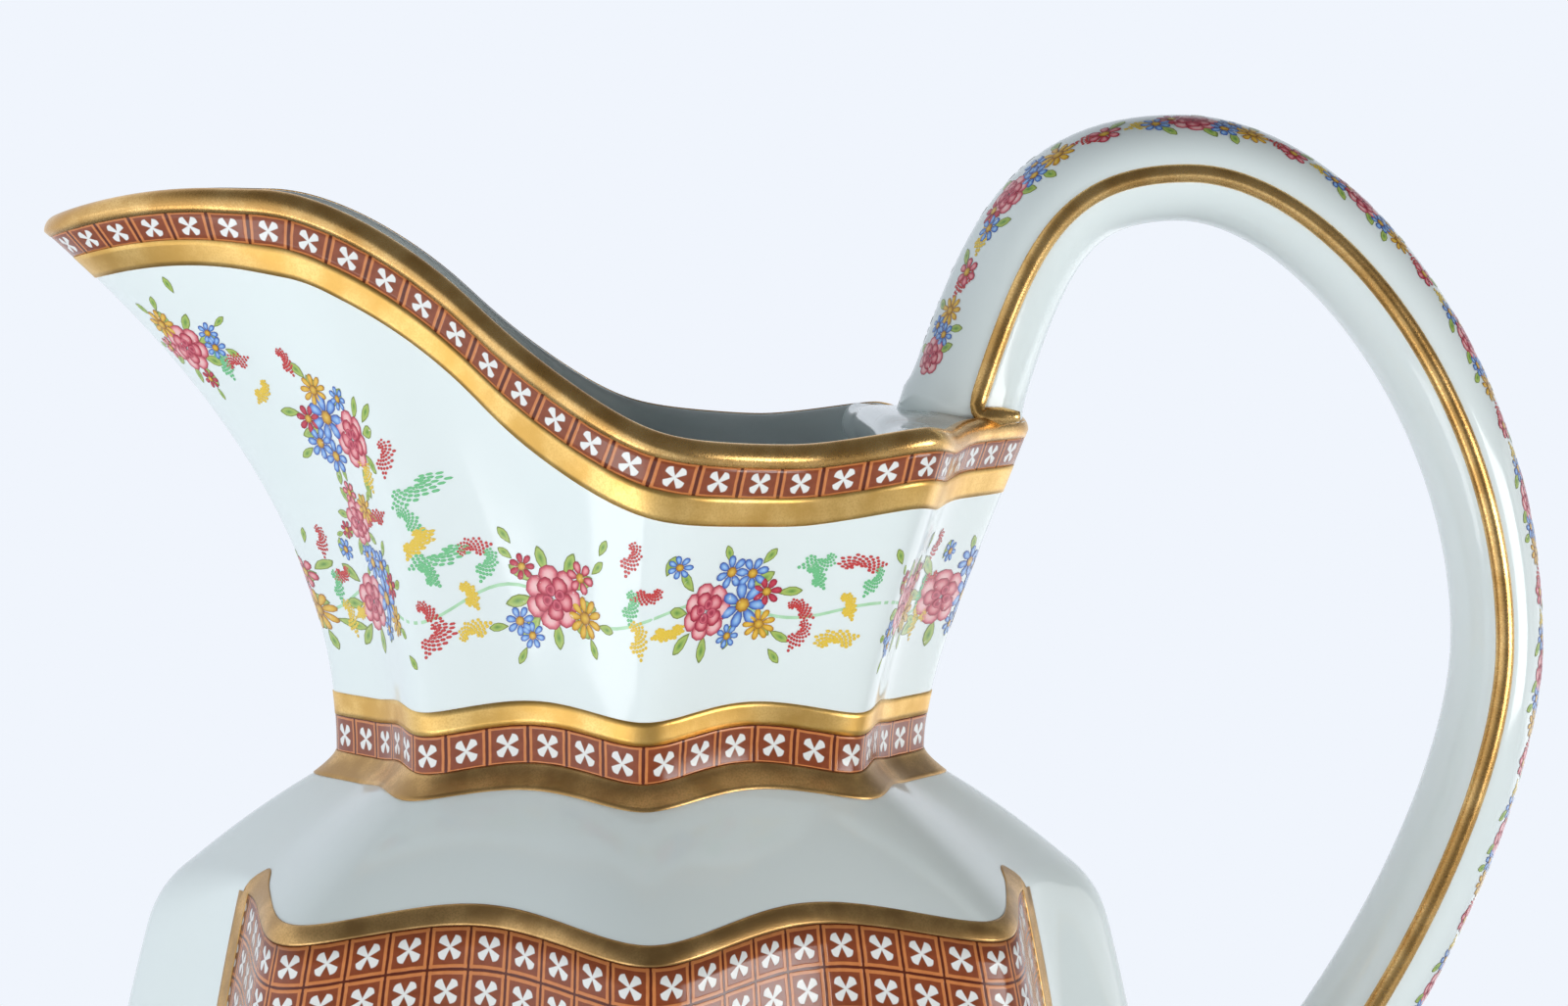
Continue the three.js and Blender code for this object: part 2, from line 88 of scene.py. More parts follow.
def arched(a, b, c, t):
    return a * (1 - t) ** 2 + b * (2 * t * (1 - t)) + c * t * t


def running_lengths(points):
    """Length of a line of points from its start to each of them."""
    lengths = [0.0]
    for before, after in zip(points, points[1:]):
        lengths.append(lengths[-1] + (after - before).length)
    return lengths


def step_at(marks, value):
    """The step of a rising list of marks that holds a value, and the share of that step."""
    n = min(max(bisect.bisect_left(marks, value), 1), len(marks) - 1)
    return n, (value - marks[n - 1]) / (marks[n] - marks[n - 1])


def flute_turn(column):
    """Plan angle of a column of the casting; columns crowd together on the ridges."""
    flute, step = divmod(column, COLUMNS_PER_FLUTE)
    way = step / COLUMNS_PER_FLUTE
    way -= COLUMN_CROWDING * math.sin(2 * math.pi * way) / (2 * math.pi)
    return (flute + way) * 2 * math.pi / RIDGES


def hollow(turn):
    """0 on a ridge and 1 in the middle of a flute."""
    soft = RIDGE_SOFTNESS
    return (math.hypot(math.sin(RIDGES / 2 * turn), soft) - soft) / (math.hypot(1, soft) - soft)


def on_flutes(turn, flute, radius, height, rise=0.0):
    reach = radius * (1 - flute * hollow(turn))
    return Vector((reach * math.cos(turn), reach * math.sin(turn), height + rise * hollow(turn)))


def face_share(turn):
    """1 on the front and back flutes, 0 on the pillars at the spout and the handle."""
    return ease(abs(math.sin(turn)), 0.3, 0.8)


def on_neck_ring(turn, radius, height):
    return on_flutes(turn, NECK_FLUTE, radius, height, NECK_SCALLOP * face_share(turn))


def ridge_radius(height):
    """Radius of the ridges of the body at a height."""
    (foot_radius, foot), (belly_radius, belly), (edge_radius, edge) = BODY_FOOT, BELLY, SHOULDER
    if height < belly:
        heights = (foot, mix(foot, belly, 0.12), mix(foot, belly, 0.5), belly)
        radii = (foot_radius, mix(foot_radius, belly_radius, 0.45), belly_radius, belly_radius)
    else:
        run = (edge - belly) / 3
        heights = (belly, belly + run, edge - run, edge)
        radii = (belly_radius, belly_radius, edge_radius + 0.27 * run, edge_radius)
    low, high = 0.0, 1.0
    for _ in range(26):
        t = (low + high) / 2
        low, high = (t, high) if bezier(*heights, t) < height else (low, t)
    return bezier(*radii, low)


radius_at = {}


def on_wall(turn, height):
    if height not in radius_at:
        radius_at[height] = ridge_radius(height)
    rise = SHOULDER_SCALLOP * ease(height, BELLY[1], SHOULDER[1])
    return on_flutes(turn, BODY_FLUTE, radius_at[height], height, rise)


def on_body(turn, place):
    """A point of the body: place runs up the wall in mm, is 0 at the edge, and runs up the shoulder."""
    roll = mix(SIDE_ROLL, FACE_ROLL, ease(abs(math.sin(turn)), 0.1, 0.38))
    edge = on_wall(turn, SHOULDER[1])
    seat = on_neck_ring(turn, *SEAT)
    slope = (seat - edge).normalized()
    if place >= roll:
        share = (place - roll) / ((seat - edge).length - roll)
        point = edge + slope * place
        point.z += SHOULDER_CROWN * share * (1 - share)
        return point
    if place <= -roll:
        return on_wall(turn, SHOULDER[1] + place)
    below = on_wall(turn, SHOULDER[1] - roll)
    return arched(below, edge, edge + slope * roll, (place + roll) / (2 * roll))


def body_slope_length(turn):
    return (on_neck_ring(turn, *SEAT) - on_wall(turn, SHOULDER[1])).length


def in_frame(point):
    """From millimetres round the vessel's own axis to metres in the shared frame."""
    return Vector((axis_x + point.x / 1000, point.y / 1000, point.z / 1000))


def formed_sheet(columns, rows, place, prints=None, keep=None):
    """A grid of faces set by place(column, row), with its print coordinates, less the faces not kept."""
    bm = bmesh.new()
    bmesh.ops.create_grid(bm, x_segments=columns, y_segments=rows, size=0.5)
    cell = {v: (round((v.co.x + 0.5) * columns), round((v.co.y + 0.5) * rows)) for v in bm.verts}
    if keep:
        middles = {face: face.calc_center_median() for face in bm.faces}
        field = [f for f, m in middles.items() if not keep((m.x + 0.5) * columns, (m.y + 0.5) * rows)]
        bmesh.ops.delete(bm, geom=field, context="FACES")
    if prints:
        layer = bm.loops.layers.uv.new("print")
        for face in bm.faces:
            for loop in face.loops:
                loop[layer].uv = prints(*cell[loop.vert])
    for vert in bm.verts:
        vert.co = in_frame(place(*cell[vert]))
    return bm


WELD = 2e-7


def meshed(bm, name):
    mesh = bpy.data.meshes.new(name)
    bm.to_mesh(mesh)
    bm.free()
    return mesh


def put_in(name, data):
    made = bpy.data.objects.new(name, data)
    bpy.context.scene.collection.objects.link(made)
    return made


def fired_piece(bm, name, material, slot, *nodes):
    """A piece of the jug from a formed sheet, with its material and the nodes it stands for. Its slot is not
    used.
    """
    bmesh.ops.remove_doubles(bm, verts=bm.verts, dist=WELD)
    mesh = meshed(bm, name)
    mesh.shade_smooth()
    mesh.materials.append(material)
    piece = put_in(name, mesh)
    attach(piece, "root")
    if nodes:
        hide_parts(*nodes)
    return piece


def new_finish(name):
    """A new material, its node tree, its shader and the place that its patterns follow."""
    made = bpy.data.materials.new(name)
    made.use_nodes = True
    tree = made.node_tree
    place = tree.nodes.new("ShaderNodeTexCoord").outputs["Object"]
    return made, tree, tree.nodes["Principled BSDF"], place


def join(tree, socket, value):
    """Links a socket to another node's output, or sets a number or a colour on it."""
    if isinstance(value, bpy.types.NodeSocket):
        tree.links.new(value, socket)
    else:
        socket.default_value = (*value, 1) if isinstance(value, tuple) else value


def feed(tree, node, **values):
    """Joins values to a node's sockets; Base_Color stands for the socket Base Color."""
    for name, value in values.items():
        join(tree, node.inputs[name.replace("_", " ")], value)
    return node


def add_node(tree, kind, **values):
    return feed(tree, tree.nodes.new(kind), **values)


def noise(tree, place, scale, detail):
    return add_node(tree, "ShaderNodeTexNoise", Vector=place, Scale=scale, Detail=detail).outputs["Fac"]


def bumps(tree, height, strength, depth):
    made = add_node(tree, "ShaderNodeBump", Height=height, Strength=strength, Distance=depth)
    return made.outputs["Normal"]


def reckon(tree, operation, *values):
    made = tree.nodes.new("ShaderNodeMath")
    made.operation = operation
    for socket, value in zip(made.inputs, values):
        join(tree, socket, value)
    return made.outputs[0]


def blend(tree, share, first, second):
    made = tree.nodes.new("ShaderNodeMix")
    made.data_type = "RGBA"
    for socket, value in zip((made.inputs[0], made.inputs[6], made.inputs[7]), (share, first, second)):
        join(tree, socket, value)
    return made.outputs[2]


def soft_step(tree, value, low, high):
    made = tree.nodes.new("ShaderNodeMapRange")
    made.interpolation_type = "SMOOTHSTEP"
    return feed(tree, made, Value=value, From_Min=low, From_Max=high).outputs["Result"]


def print_place(tree):
    """Print coordinates of a sheet, as X and Y."""
    flat = tree.nodes.new("ShaderNodeUVMap")
    flat.uv_map = "print"
    return add_node(tree, "ShaderNodeSeparateXYZ", Vector=flat.outputs["UV"]).outputs


def glaze_finish(name, gilt_wash):
    """Pale green glaze with a few pinholes; a gilt wash on it wears thin towards the inside."""
    made, tree, shader, place = new_finish(name)
    cloud = noise(tree, place, 26.0, 3.0)
    colour = blend(tree, cloud, (0.75, 0.84, 0.835), (0.81, 0.88, 0.875))
    pinholes = add_node(tree, "ShaderNodeTexVoronoi", Vector=place, Scale=44.0)
    speck = soft_step(tree, pinholes.outputs["Distance"], 0.011, 0.005)
    colour = blend(tree, speck, colour, (0.30, 0.30, 0.27))
    if gilt_wash:
        smear = noise(tree, place, 210.0, 4.0)
        outward = reckon(tree, "MULTIPLY_ADD", smear, 0.9, print_place(tree)["Y"])
        wash = reckon(tree, "MULTIPLY", soft_step(tree, outward, 0.95, 1.35), 0.8)
        colour = blend(tree, wash, colour, (0.42, 0.26, 0.13))
        feed(tree, shader, Metallic=reckon(tree, "MULTIPLY", wash, 0.5))
    wave = noise(tree, place, 140.0, 2.0)
    rough = reckon(tree, "MULTIPLY_ADD", wave, 0.06, 0.06)
    peel = bumps(tree, wave, 0.05, 0.0004)
    feed(tree, shader, Base_Color=colour, Roughness=rough, IOR=1.52, Normal=peel)
    return made


def rings(place, values):
    """Rings of a casting, one for each value, each of them set by place(around, value)."""
    return [lambda around, value=value: place(around, value) for value in values]


WALL_STEPS = 44
SLOPE_STEPS = 12
INNER_STEPS = 24
EDGE_PLACES = (
    -6.0, -4.6, -3.2, -2.2, -1.7, -1.2, -0.7, -0.25, 0.2, 0.65, 1.15, 1.7, 2.3, 3.2, 4.4, 6.0,
)
glaze = glaze_finish("pale_green_glaze", False)
wall_heights = [mix(BODY_FOOT[1], SHOULDER[1] - 7, step / WALL_STEPS) for step in range(WALL_STEPS + 1)]
inner_heights = [mix(SHOULDER[1] - 6, 16.5, step / INNER_STEPS) for step in range(INNER_STEPS + 1)]
inner_radius = {h: ridge_radius(h) - BODY_WALL * (1 + 0.9 * ease(h, 34, 16)) for h in inner_heights}


def body_rows():
    """Rings of the body: up the wall, over the shoulder, and down the inside to the floor."""
    rows = [lambda turn: Vector((0, 0, BODY_FOOT[1]))]
    rows += rings(on_wall, wall_heights) + rings(on_body, EDGE_PLACES)
    rows += rings(
        lambda turn, n: on_body(turn, mix(SIDE_ROLL, body_slope_length(turn), n / SLOPE_STEPS)),
        range(1, SLOPE_STEPS + 1),
    )
    rows += [lambda turn: on_neck_ring(turn, MOUTH_RADIUS, SEAT[1])]
    rows += [lambda turn: on_flutes(turn, BODY_FLUTE, SHOULDER[0] - 7.5, SHOULDER[1] - 2.5)]
    rows += rings(lambda turn, h: on_flutes(turn, BODY_FLUTE, inner_radius[h], h), inner_heights)
    rows += [lambda turn: Vector((0, 0, FLOOR_HEIGHT))]
    return rows


ring_rows = body_rows()
sheet = formed_sheet(COLUMNS, len(ring_rows) - 1, lambda column, row: ring_rows[row](flute_turn(column)))
fired_piece(sheet, "body_porcelain", glaze, "porcelain", "vessel_body")

# Foot ring and its gold line
# The cast ring that the jug stands on follows the ridges, draws in to a waist under the body and is hollow
# beneath. It is joined to the body with slip, and a line of gold is brushed round its edge.

FOOT_RADIUS = 57.0
FOOT_HEIGHT = 10.2
FOOT_SECTION = [
    (6.0, 0.0), (4.6, 0.0), (1.0, 0.0), (0.4, 0.15), (0.1, 0.5), (0.0, 1.1), (0.0, 2.3), (0.1, 3.0),
    (0.6, 3.7), (1.9, 5.0), (4.0, 7.2), (5.4, 8.8), (6.0, FOOT_HEIGHT), (11.6, FOOT_HEIGHT), (8.6, 6.0),
    (6.6, 1.6), (6.0, 0.0),
]
FOOT_GOLD_ROWS = 5
GILT_LIFT = 0.14
FILM_THICKNESS = 0.00022


def on_foot(column, row):
    inset, height = FOOT_SECTION[row]
    return on_flutes(flute_turn(column), BODY_FLUTE, FOOT_RADIUS - inset, height)


sheet = formed_sheet(COLUMNS, len(FOOT_SECTION) - 1, on_foot)
fired_piece(sheet, "foot_porcelain", glaze, "porcelain", "foot_ring")


def gilt_finish(name, pale, deep, polish):
    """Burnished gold: grainy, and thinner and browner in patches."""
    made, tree, shader, place = new_finish(name)
    grain = noise(tree, place, 3600.0, 2.0)
    patch = noise(tree, place, 150.0, 4.0)
    body = blend(tree, soft_step(tree, patch, 0.35, 0.68), deep, pale)
    worn = reckon(tree, "MULTIPLY", soft_step(tree, grain, 0.40, 0.66), 0.45)
    feed(
        tree, shader, Base_Color=blend(tree, worn, body, deep), Metallic=1.0,
        Roughness=reckon(tree, "MULTIPLY_ADD", grain, 0.22, polish), Normal=bumps(tree, grain, 0.3, 0.00006),
    )
    return made


band_gold = gilt_finish("band_gold", (0.98, 0.66, 0.24), (0.76, 0.45, 0.12), 0.28)
rim_gold = gilt_finish("rim_gold", (0.92, 0.60, 0.24), (0.62, 0.35, 0.11), 0.18)


def lifted(place, column, row, lift):
    """A point of a sheet raised along its outward normal, for a film that lies on it."""
    point = place(column, row)
    along = place(column + 1, row) - place(column - 1, row)
    up = place(column, row + 0.5) - place(column, row - 0.5)
    return point + along.cross(up).normalized() * lift


def laid_film(name, columns, rows, place, lift, material, slot, node, prints=None, keep=None):
    """A thin film of gold or print that lies on a surface given by place(column, row)."""
    sheet = formed_sheet(columns, rows, lambda column, row: lifted(place, column, row, lift), prints, keep)
    piece = fired_piece(sheet, name, material, slot, node)
    wall = piece.modifiers.new("film", "SOLIDIFY")
    wall.thickness = FILM_THICKNESS
    wall.offset = -1.0


def on_foot_edge(column, row):
    return on_flutes(flute_turn(column), BODY_FLUTE, FOOT_RADIUS - 0.02 * row, 0.6 + row * 0.45)


laid_film(
    "foot_gold_line", COLUMNS, FOOT_GOLD_ROWS, on_foot_edge, GILT_LIFT, band_gold, "gilding", "foot_gilding"
)

# Neck and spout
# The cast neck flares from a narrow waist to the rim; towards the front of the pour it sweeps up and out
# into a helmet spout, and on the handle side a ledge closes the mouth. It is stuck to the shoulder with slip.

WAIST = (43.6, 192.4)
COVE_FOOT = 1.0
COVE_STEPS = 8
RIM_RADIUS = 58.6
RIM_HEIGHT = 241.4
RIM_WALL = 3.8
RIM_SCALLOP = 2.2
RIM_BOW = 4.8
RIM_BOW_X = -8.0
RIM_BOW_REACH = 13.5
LIP_DROP = 1.7
LIP_RISE = 0.25
SPOUT_REACH = 87.4
SPOUT_RISE = 32.8
SPOUT_RISE_RUN = (-12, 56)
TIP_DROOP = 4.5
TIP_DROOP_FROM = 62
MERIDIAN_STEPS = 60


def rim_height(x):
    """Height of the rim: level by the handle, a low bow, the sweep up, and the drooping tip."""
    past = min(max((-TIP_DROOP_FROM - x) / (SPOUT_REACH - TIP_DROOP_FROM), 0.0), 1.0)
    bow = math.exp(-(((x - RIM_BOW_X) / RIM_BOW_REACH) ** 2))
    sweep = SPOUT_RISE * ease(-x, *SPOUT_RISE_RUN)
    return RIM_HEIGHT + sweep - RIM_BOW * bow - TIP_DROOP * past * past


def on_rim(turn):
    """A point of the rim: scalloped on the handle side, drawn out to a point on the other."""
    if math.cos(turn) > -1e-6:
        reach = RIM_RADIUS + 0.8 * math.cos(turn) ** 4
        point = on_flutes(turn, NECK_FLUTE, reach, 0.0, -RIM_SCALLOP * face_share(turn))
        point.z += rim_height(point.x)
        return point
    way = min(max(1 - abs(turn % (2 * math.pi) - math.pi) / (math.pi / 2), 0.0), 1.0)
    x = bezier(0.0, -0.16 * SPOUT_REACH, -SPOUT_REACH, -SPOUT_REACH, way)
    y = bezier(RIM_RADIUS, 0.63 * RIM_RADIUS, 0.5 * RIM_RADIUS, 0.0, way)
    return Vector((x, y if math.sin(turn) > 0 else -y, rim_height(x)))


def softened_rim():
    """The rim line, with the corners where the spout leaves the flutes worked smooth."""
    line = [on_rim(flute_turn(column)) for column in range(COLUMNS)]
    for _ in range(300):
        eased = []
        for column, point in enumerate(line):
            turn = flute_turn(column)
            share = 0.5 * math.exp(-(((abs(math.sin(turn)) - 1) / 0.05) ** 2))
            beside = (line[column - 1] + line[(column + 1) % COLUMNS]) / 2
            eased.append(point.lerp(beside, share))
        line = eased
    return line


class Meridian:
    """One line of the neck from waist to rim, measured along its length in mm."""

    def __init__(self, turn, high):
        low = on_neck_ring(turn, *WAIST)
        spout = ease(-math.cos(turn), 0.0, 1.0)
        first = Vector((low.x, low.y, mix(low.z, high.z, mix(0.24, 0.39, spout))))
        second = low.lerp(high, mix(0.6, 0.44, spout))
        second.z = mix(low.z, high.z, mix(0.66, 0.73, spout))
        shares = [n / MERIDIAN_STEPS for n in range(MERIDIAN_STEPS + 1)]
        self.points = [bezier(low, first, second, high, share) for share in shares]
        self.rim = self.points[-1]
        self.lengths = running_lengths(self.points)
        self.length = self.lengths[-1]

    def at(self, distance):
        n, share = step_at(self.lengths, distance)
        return self.points[n - 1].lerp(self.points[n], share)

    def below_rim(self, distance):
        return self.at(self.length - distance)


meridians = [Meridian(flute_turn(column), point) for column, point in enumerate(softened_rim())]


def meridian(column):
    return meridians[column % COLUMNS]


def rim_inward(column):
    """Level direction from the rim to the inside of the mouth."""
    along = meridian(column + 14).rim - meridian(column - 14).rim
    return Vector((-along.y, along.x, 0)).normalized()


def on_rim_roll(column, angle):
    """The rounded lip: 0 on its outer side, 90 degrees on top, 180 inside."""
    half = RIM_WALL / 2
    across = rim_inward(column)
    point = meridian(column).below_rim(LIP_DROP) + across * (half * (1 - math.cos(angle)))
    point.z += (half + LIP_RISE) * math.sin(angle)
    return point


def neck_inside(column, share):
    """The inside of the neck, from under the lip at 0 down to the seat at 1."""
    line = meridian(column)
    distance = mix(line.length - 3.6, 2.0, share)
    along = meridian(column + 1).at(distance) - meridian(column - 1).at(distance)
    up = line.at(distance + 0.5) - line.at(distance - 0.5)
    return line.at(distance) - along.cross(up).normalized() * mix(RIM_WALL, BODY_WALL, share)


def on_cove(column, share):
    """The hollow in which the neck stands on the shoulder, from its lower edge up to the waist."""
    turn = flute_turn(column)
    low = on_body(turn, body_slope_length(turn) - COVE_FOOT)
    low.z -= 0.02
    high = on_neck_ring(turn, *WAIST)
    bend = Vector((high.x, high.y, mix(high.z, low.z, 0.3)))
    return arched(low, bend, high, share)


def neck_rows():
    """Rings of the neck: up the cove and the wall, over the lip and down the inside."""
    fine, low, high = 0.9, 9.0, 12
    rows = [lambda c: on_neck_ring(flute_turn(c), MOUTH_RADIUS, SEAT[1] - 1.2)]
    rows += rings(lambda c, n: on_cove(c, n / COVE_STEPS), range(COVE_STEPS))
    rows += rings(lambda c, n: meridian(c).at(n * fine), range(11))
    rows += rings(lambda c, n: meridian(c).at(mix(low, meridian(c).length - high, n / 26)), range(1, 27))
    rows += rings(lambda c, n: meridian(c).below_rim(high - n), range(1, 11))
    rows += rings(lambda c, n: on_rim_roll(c, math.pi * n / 12), range(13))
    rows += rings(lambda c, n: neck_inside(c, n / 14), range(15))
    rows += [lambda c: on_neck_ring(flute_turn(c), MOUTH_RADIUS, WAIST[1]), rows[0]]
    return rows


ring_rows = neck_rows()
sheet = formed_sheet(COLUMNS, len(ring_rows) - 1, lambda column, row: ring_rows[row](column))
fired_piece(sheet, "neck_porcelain", glaze, "porcelain", "neck_spout")

LEDGE_X = 34.4
LEDGE_DEPTH = 6.6
LEDGE_NOSE = 2.6
LEDGE_CROWN = 1.0
LEDGE_STEPS = 48
LEDGE_ROWS = 20
NOSE_ROWS = 10
handle_side = [on_rim_roll(column, math.pi / 2) for column in range(-70, 71)]
handle_side_y = [point.y for point in handle_side]
ledge_end = max(point.y for point in handle_side if point.x > LEDGE_X) + 0.6


def on_ledge(column, row):
    """The ledge across the mouth: its underside, its rounded edge and its crowned top."""
    y = ledge_end * (2 * column / LEDGE_STEPS - 1)
    n, share = step_at(handle_side_y, y)
    lip = handle_side[n - 1].lerp(handle_side[n], share)
    edge = min(LEDGE_X, lip.x)
    crown = LEDGE_CROWN * (1 - (y / ledge_end) ** 2)
    top = lip.z - 0.12 + crown
    if row == 0:
        return Vector((lip.x, y, top - crown - LEDGE_DEPTH))
    if row <= NOSE_ROWS:
        angle = math.pi * (row - 1) / (NOSE_ROWS - 1)
        nose = LEDGE_NOSE * min(1.0, (lip.x - edge) / 4)
        depth = LEDGE_DEPTH * (1 + math.cos(angle)) / 2
        return Vector((edge + nose - nose * math.sin(angle), y, top - depth))
    share = (row - NOSE_ROWS) / (LEDGE_ROWS - NOSE_ROWS)
    x = mix(min(edge + LEDGE_NOSE, lip.x), lip.x, share)
    return Vector((x, y, top - crown * ease(x, lip.x - 9, lip.x)))


sheet = formed_sheet(
    LEDGE_STEPS, LEDGE_ROWS, on_ledge, lambda column, row: (column / LEDGE_STEPS, row / LEDGE_ROWS)
)
fired_piece(sheet, "mouth_ledge", glaze_finish("ledge_glaze", True), "porcelain", "neck_spout")

# Handle
# The cast loop rises from the ledge, swings over a high crest and comes down into the pillar of the body. It
# is oval in section, a little flared where it is luted on, and one raised bead runs along each edge.

HANDLE_WIDTH = 20.2
HANDLE_THICKNESS = (17.0, 15.8, 13.4, 16.0)
HANDLE_ROOT = (47.2, 237.1)
HANDLE_CREST = (81.4, 278.8)
HANDLE_SIDE = (130.1, 208.0)
HANDLE_JOINT = (ridge_radius(116.0) - BODY_WALL, 116.0)
HANDLE_ARCS = (
    (HANDLE_ROOT, (0.26, 0.69), (0.38, 1), HANDLE_CREST), (HANDLE_CREST, (0.46, 0), (1, 0.49), HANDLE_SIDE),
    (HANDLE_SIDE, (0, 0.3), (0.5, 0.83), HANDLE_JOINT),
)
HANDLE_START = 5.0
HANDLE_ARC_STEPS = 60
HANDLE_STEPS = 150
HANDLE_AROUND = 56
BEAD_RADIUS = 1.4
BEAD_SHIFT = -0.8
BEAD_START = 7.4
BEAD_AROUND = 14


def handle_arc(start, first, second, end):
    """One arc of the handle's line; its two inner places are shares of the way between its ends."""
    def at(*shares):
        x, z = (mix(a, b, share) for a, b, share in zip(start, end, shares))
        return Vector((x, 0, z))

    ends = at(0, 0), at(*first), at(*second), at(1, 1)
    return [bezier(*ends, n / HANDLE_ARC_STEPS) for n in range(HANDLE_ARC_STEPS)]


handle_points = [point for arc in HANDLE_ARCS for point in handle_arc(*arc)]
handle_points.append(Vector((HANDLE_JOINT[0], 0, HANDLE_JOINT[1])))
handle_runs = running_lengths(handle_points)
handle_length = handle_runs[-1]
thickness_marks = handle_runs[::HANDLE_ARC_STEPS]


def handle_at(distance):
    """Centre of the handle and the way out of the loop, at a distance in mm from its root."""
    n, share = step_at(handle_runs, distance)
    centre = handle_points[n - 1].lerp(handle_points[n], share)
    before = handle_points[max(n - 2, 0)]
    after = handle_points[min(n + 1, len(handle_points) - 1)]
    run = (after - before).normalized()
    return centre, Vector((-run.z, 0, run.x))


def handle_thickness(distance):
    n, share = step_at(thickness_marks, distance)
    return mix(HANDLE_THICKNESS[n - 1], HANDLE_THICKNESS[n], ease(share, 0.0, 1.0))


def on_handle(distance, angle, lift=0.0):
    """A point of the handle: angle 0 on the outside of the loop, 90 degrees on the front edge."""
    centre, away = handle_at(distance)
    at_root = math.exp(-max(distance - 5.2, 0.0) / 1.7)
    at_joint = math.exp(-max(handle_length - distance - 5.0, 0.0) / 3.0)
    half = handle_thickness(distance) / 2 * (1 + 0.22 * at_root + 0.12 * at_joint) + lift
    half_width = HANDLE_WIDTH / 2 * (1 + 0.10 * at_root + 0.12 * at_joint) + lift
    point = centre + away * (half * math.cos(angle))
    point.y -= half_width * math.sin(angle)
    return point


def handle_place(column, row):
    """Rings of the handle, closed at both ends, with the first ring level on the ledge."""
    distance = mix(HANDLE_START, handle_length, min(max(row - 1, 0), HANDLE_STEPS) / HANDLE_STEPS)
    if row in (0, HANDLE_STEPS + 2):
        point = handle_at(distance)[0]
    else:
        point = on_handle(distance, 2 * math.pi * column / HANDLE_AROUND)
    if row <= 1:
        point.z = RIM_HEIGHT - 0.3
    return point


sheet = formed_sheet(HANDLE_AROUND, HANDLE_STEPS + 2, handle_place)
fired_piece(sheet, "handle_porcelain", glaze, "porcelain", "loop_handle")


def bead_line(face):
    """Centre of a bead: along the ledge beside the root, a short turn up, then along the loop."""
    rise = []
    for n in range(HANDLE_STEPS + 1):
        centre, away = handle_at(mix(BEAD_START, handle_length - HANDLE_START, n / HANDLE_STEPS))
        point = centre + away * BEAD_SHIFT
        point.y = -face * (HANDLE_WIDTH / 2 - 0.5)
        rise.append(point)
    foot = rise[0]
    turn = [foot + Vector((6.2 - 5.2 * n / 6, -face * 1.5, -1.7)) for n in range(7)]
    turn += [foot + Vector((0.45, -face * 1.2, -1.5)), foot + Vector((0.1, -face * 0.7, -0.9))]
    return turn + rise


for face, name in ((1, "front"), (-1, "back")):
    line = bead_line(face)
    last = len(line) - 1

    def bead_place(column, row):
        n = min(max(row - 1, 0), last)
        if row in (0, last + 2):
            return line[n]
        run = (line[min(n + 1, last)] - line[max(n - 1, 0)]).normalized()
        away = Vector((-run.z, 0, run.x))
        angle = 2 * math.pi * column / BEAD_AROUND
        radius = BEAD_RADIUS * min(1.0, 0.55 + 0.15 * n)
        point = line[n] + away * (radius * math.cos(angle))
        point.y -= radius * math.sin(angle)
        return point

    sheet = formed_sheet(BEAD_AROUND, last + 2, bead_place)
    fired_piece(sheet, f"handle_{name}_bead", rim_gold, "gilding", f"handle_bead_{name}")

# Check panels on the body
# A printed transfer of small checks, each with a white four-petalled flower, is slid wet over three flutes on
# the front and on the back, with its rows along the scalloped shoulder edge, and fired into the glaze.

PANEL_CELL = 5.75
PANEL_FOOT = 40.0
PANEL_TOP = -1.6
PANEL_ROWS = 44
PANEL_RIDGES = ((6, "front"), (2, "back"))
PRINT_LIFT = 0.08
INK_EDGE = 0.06


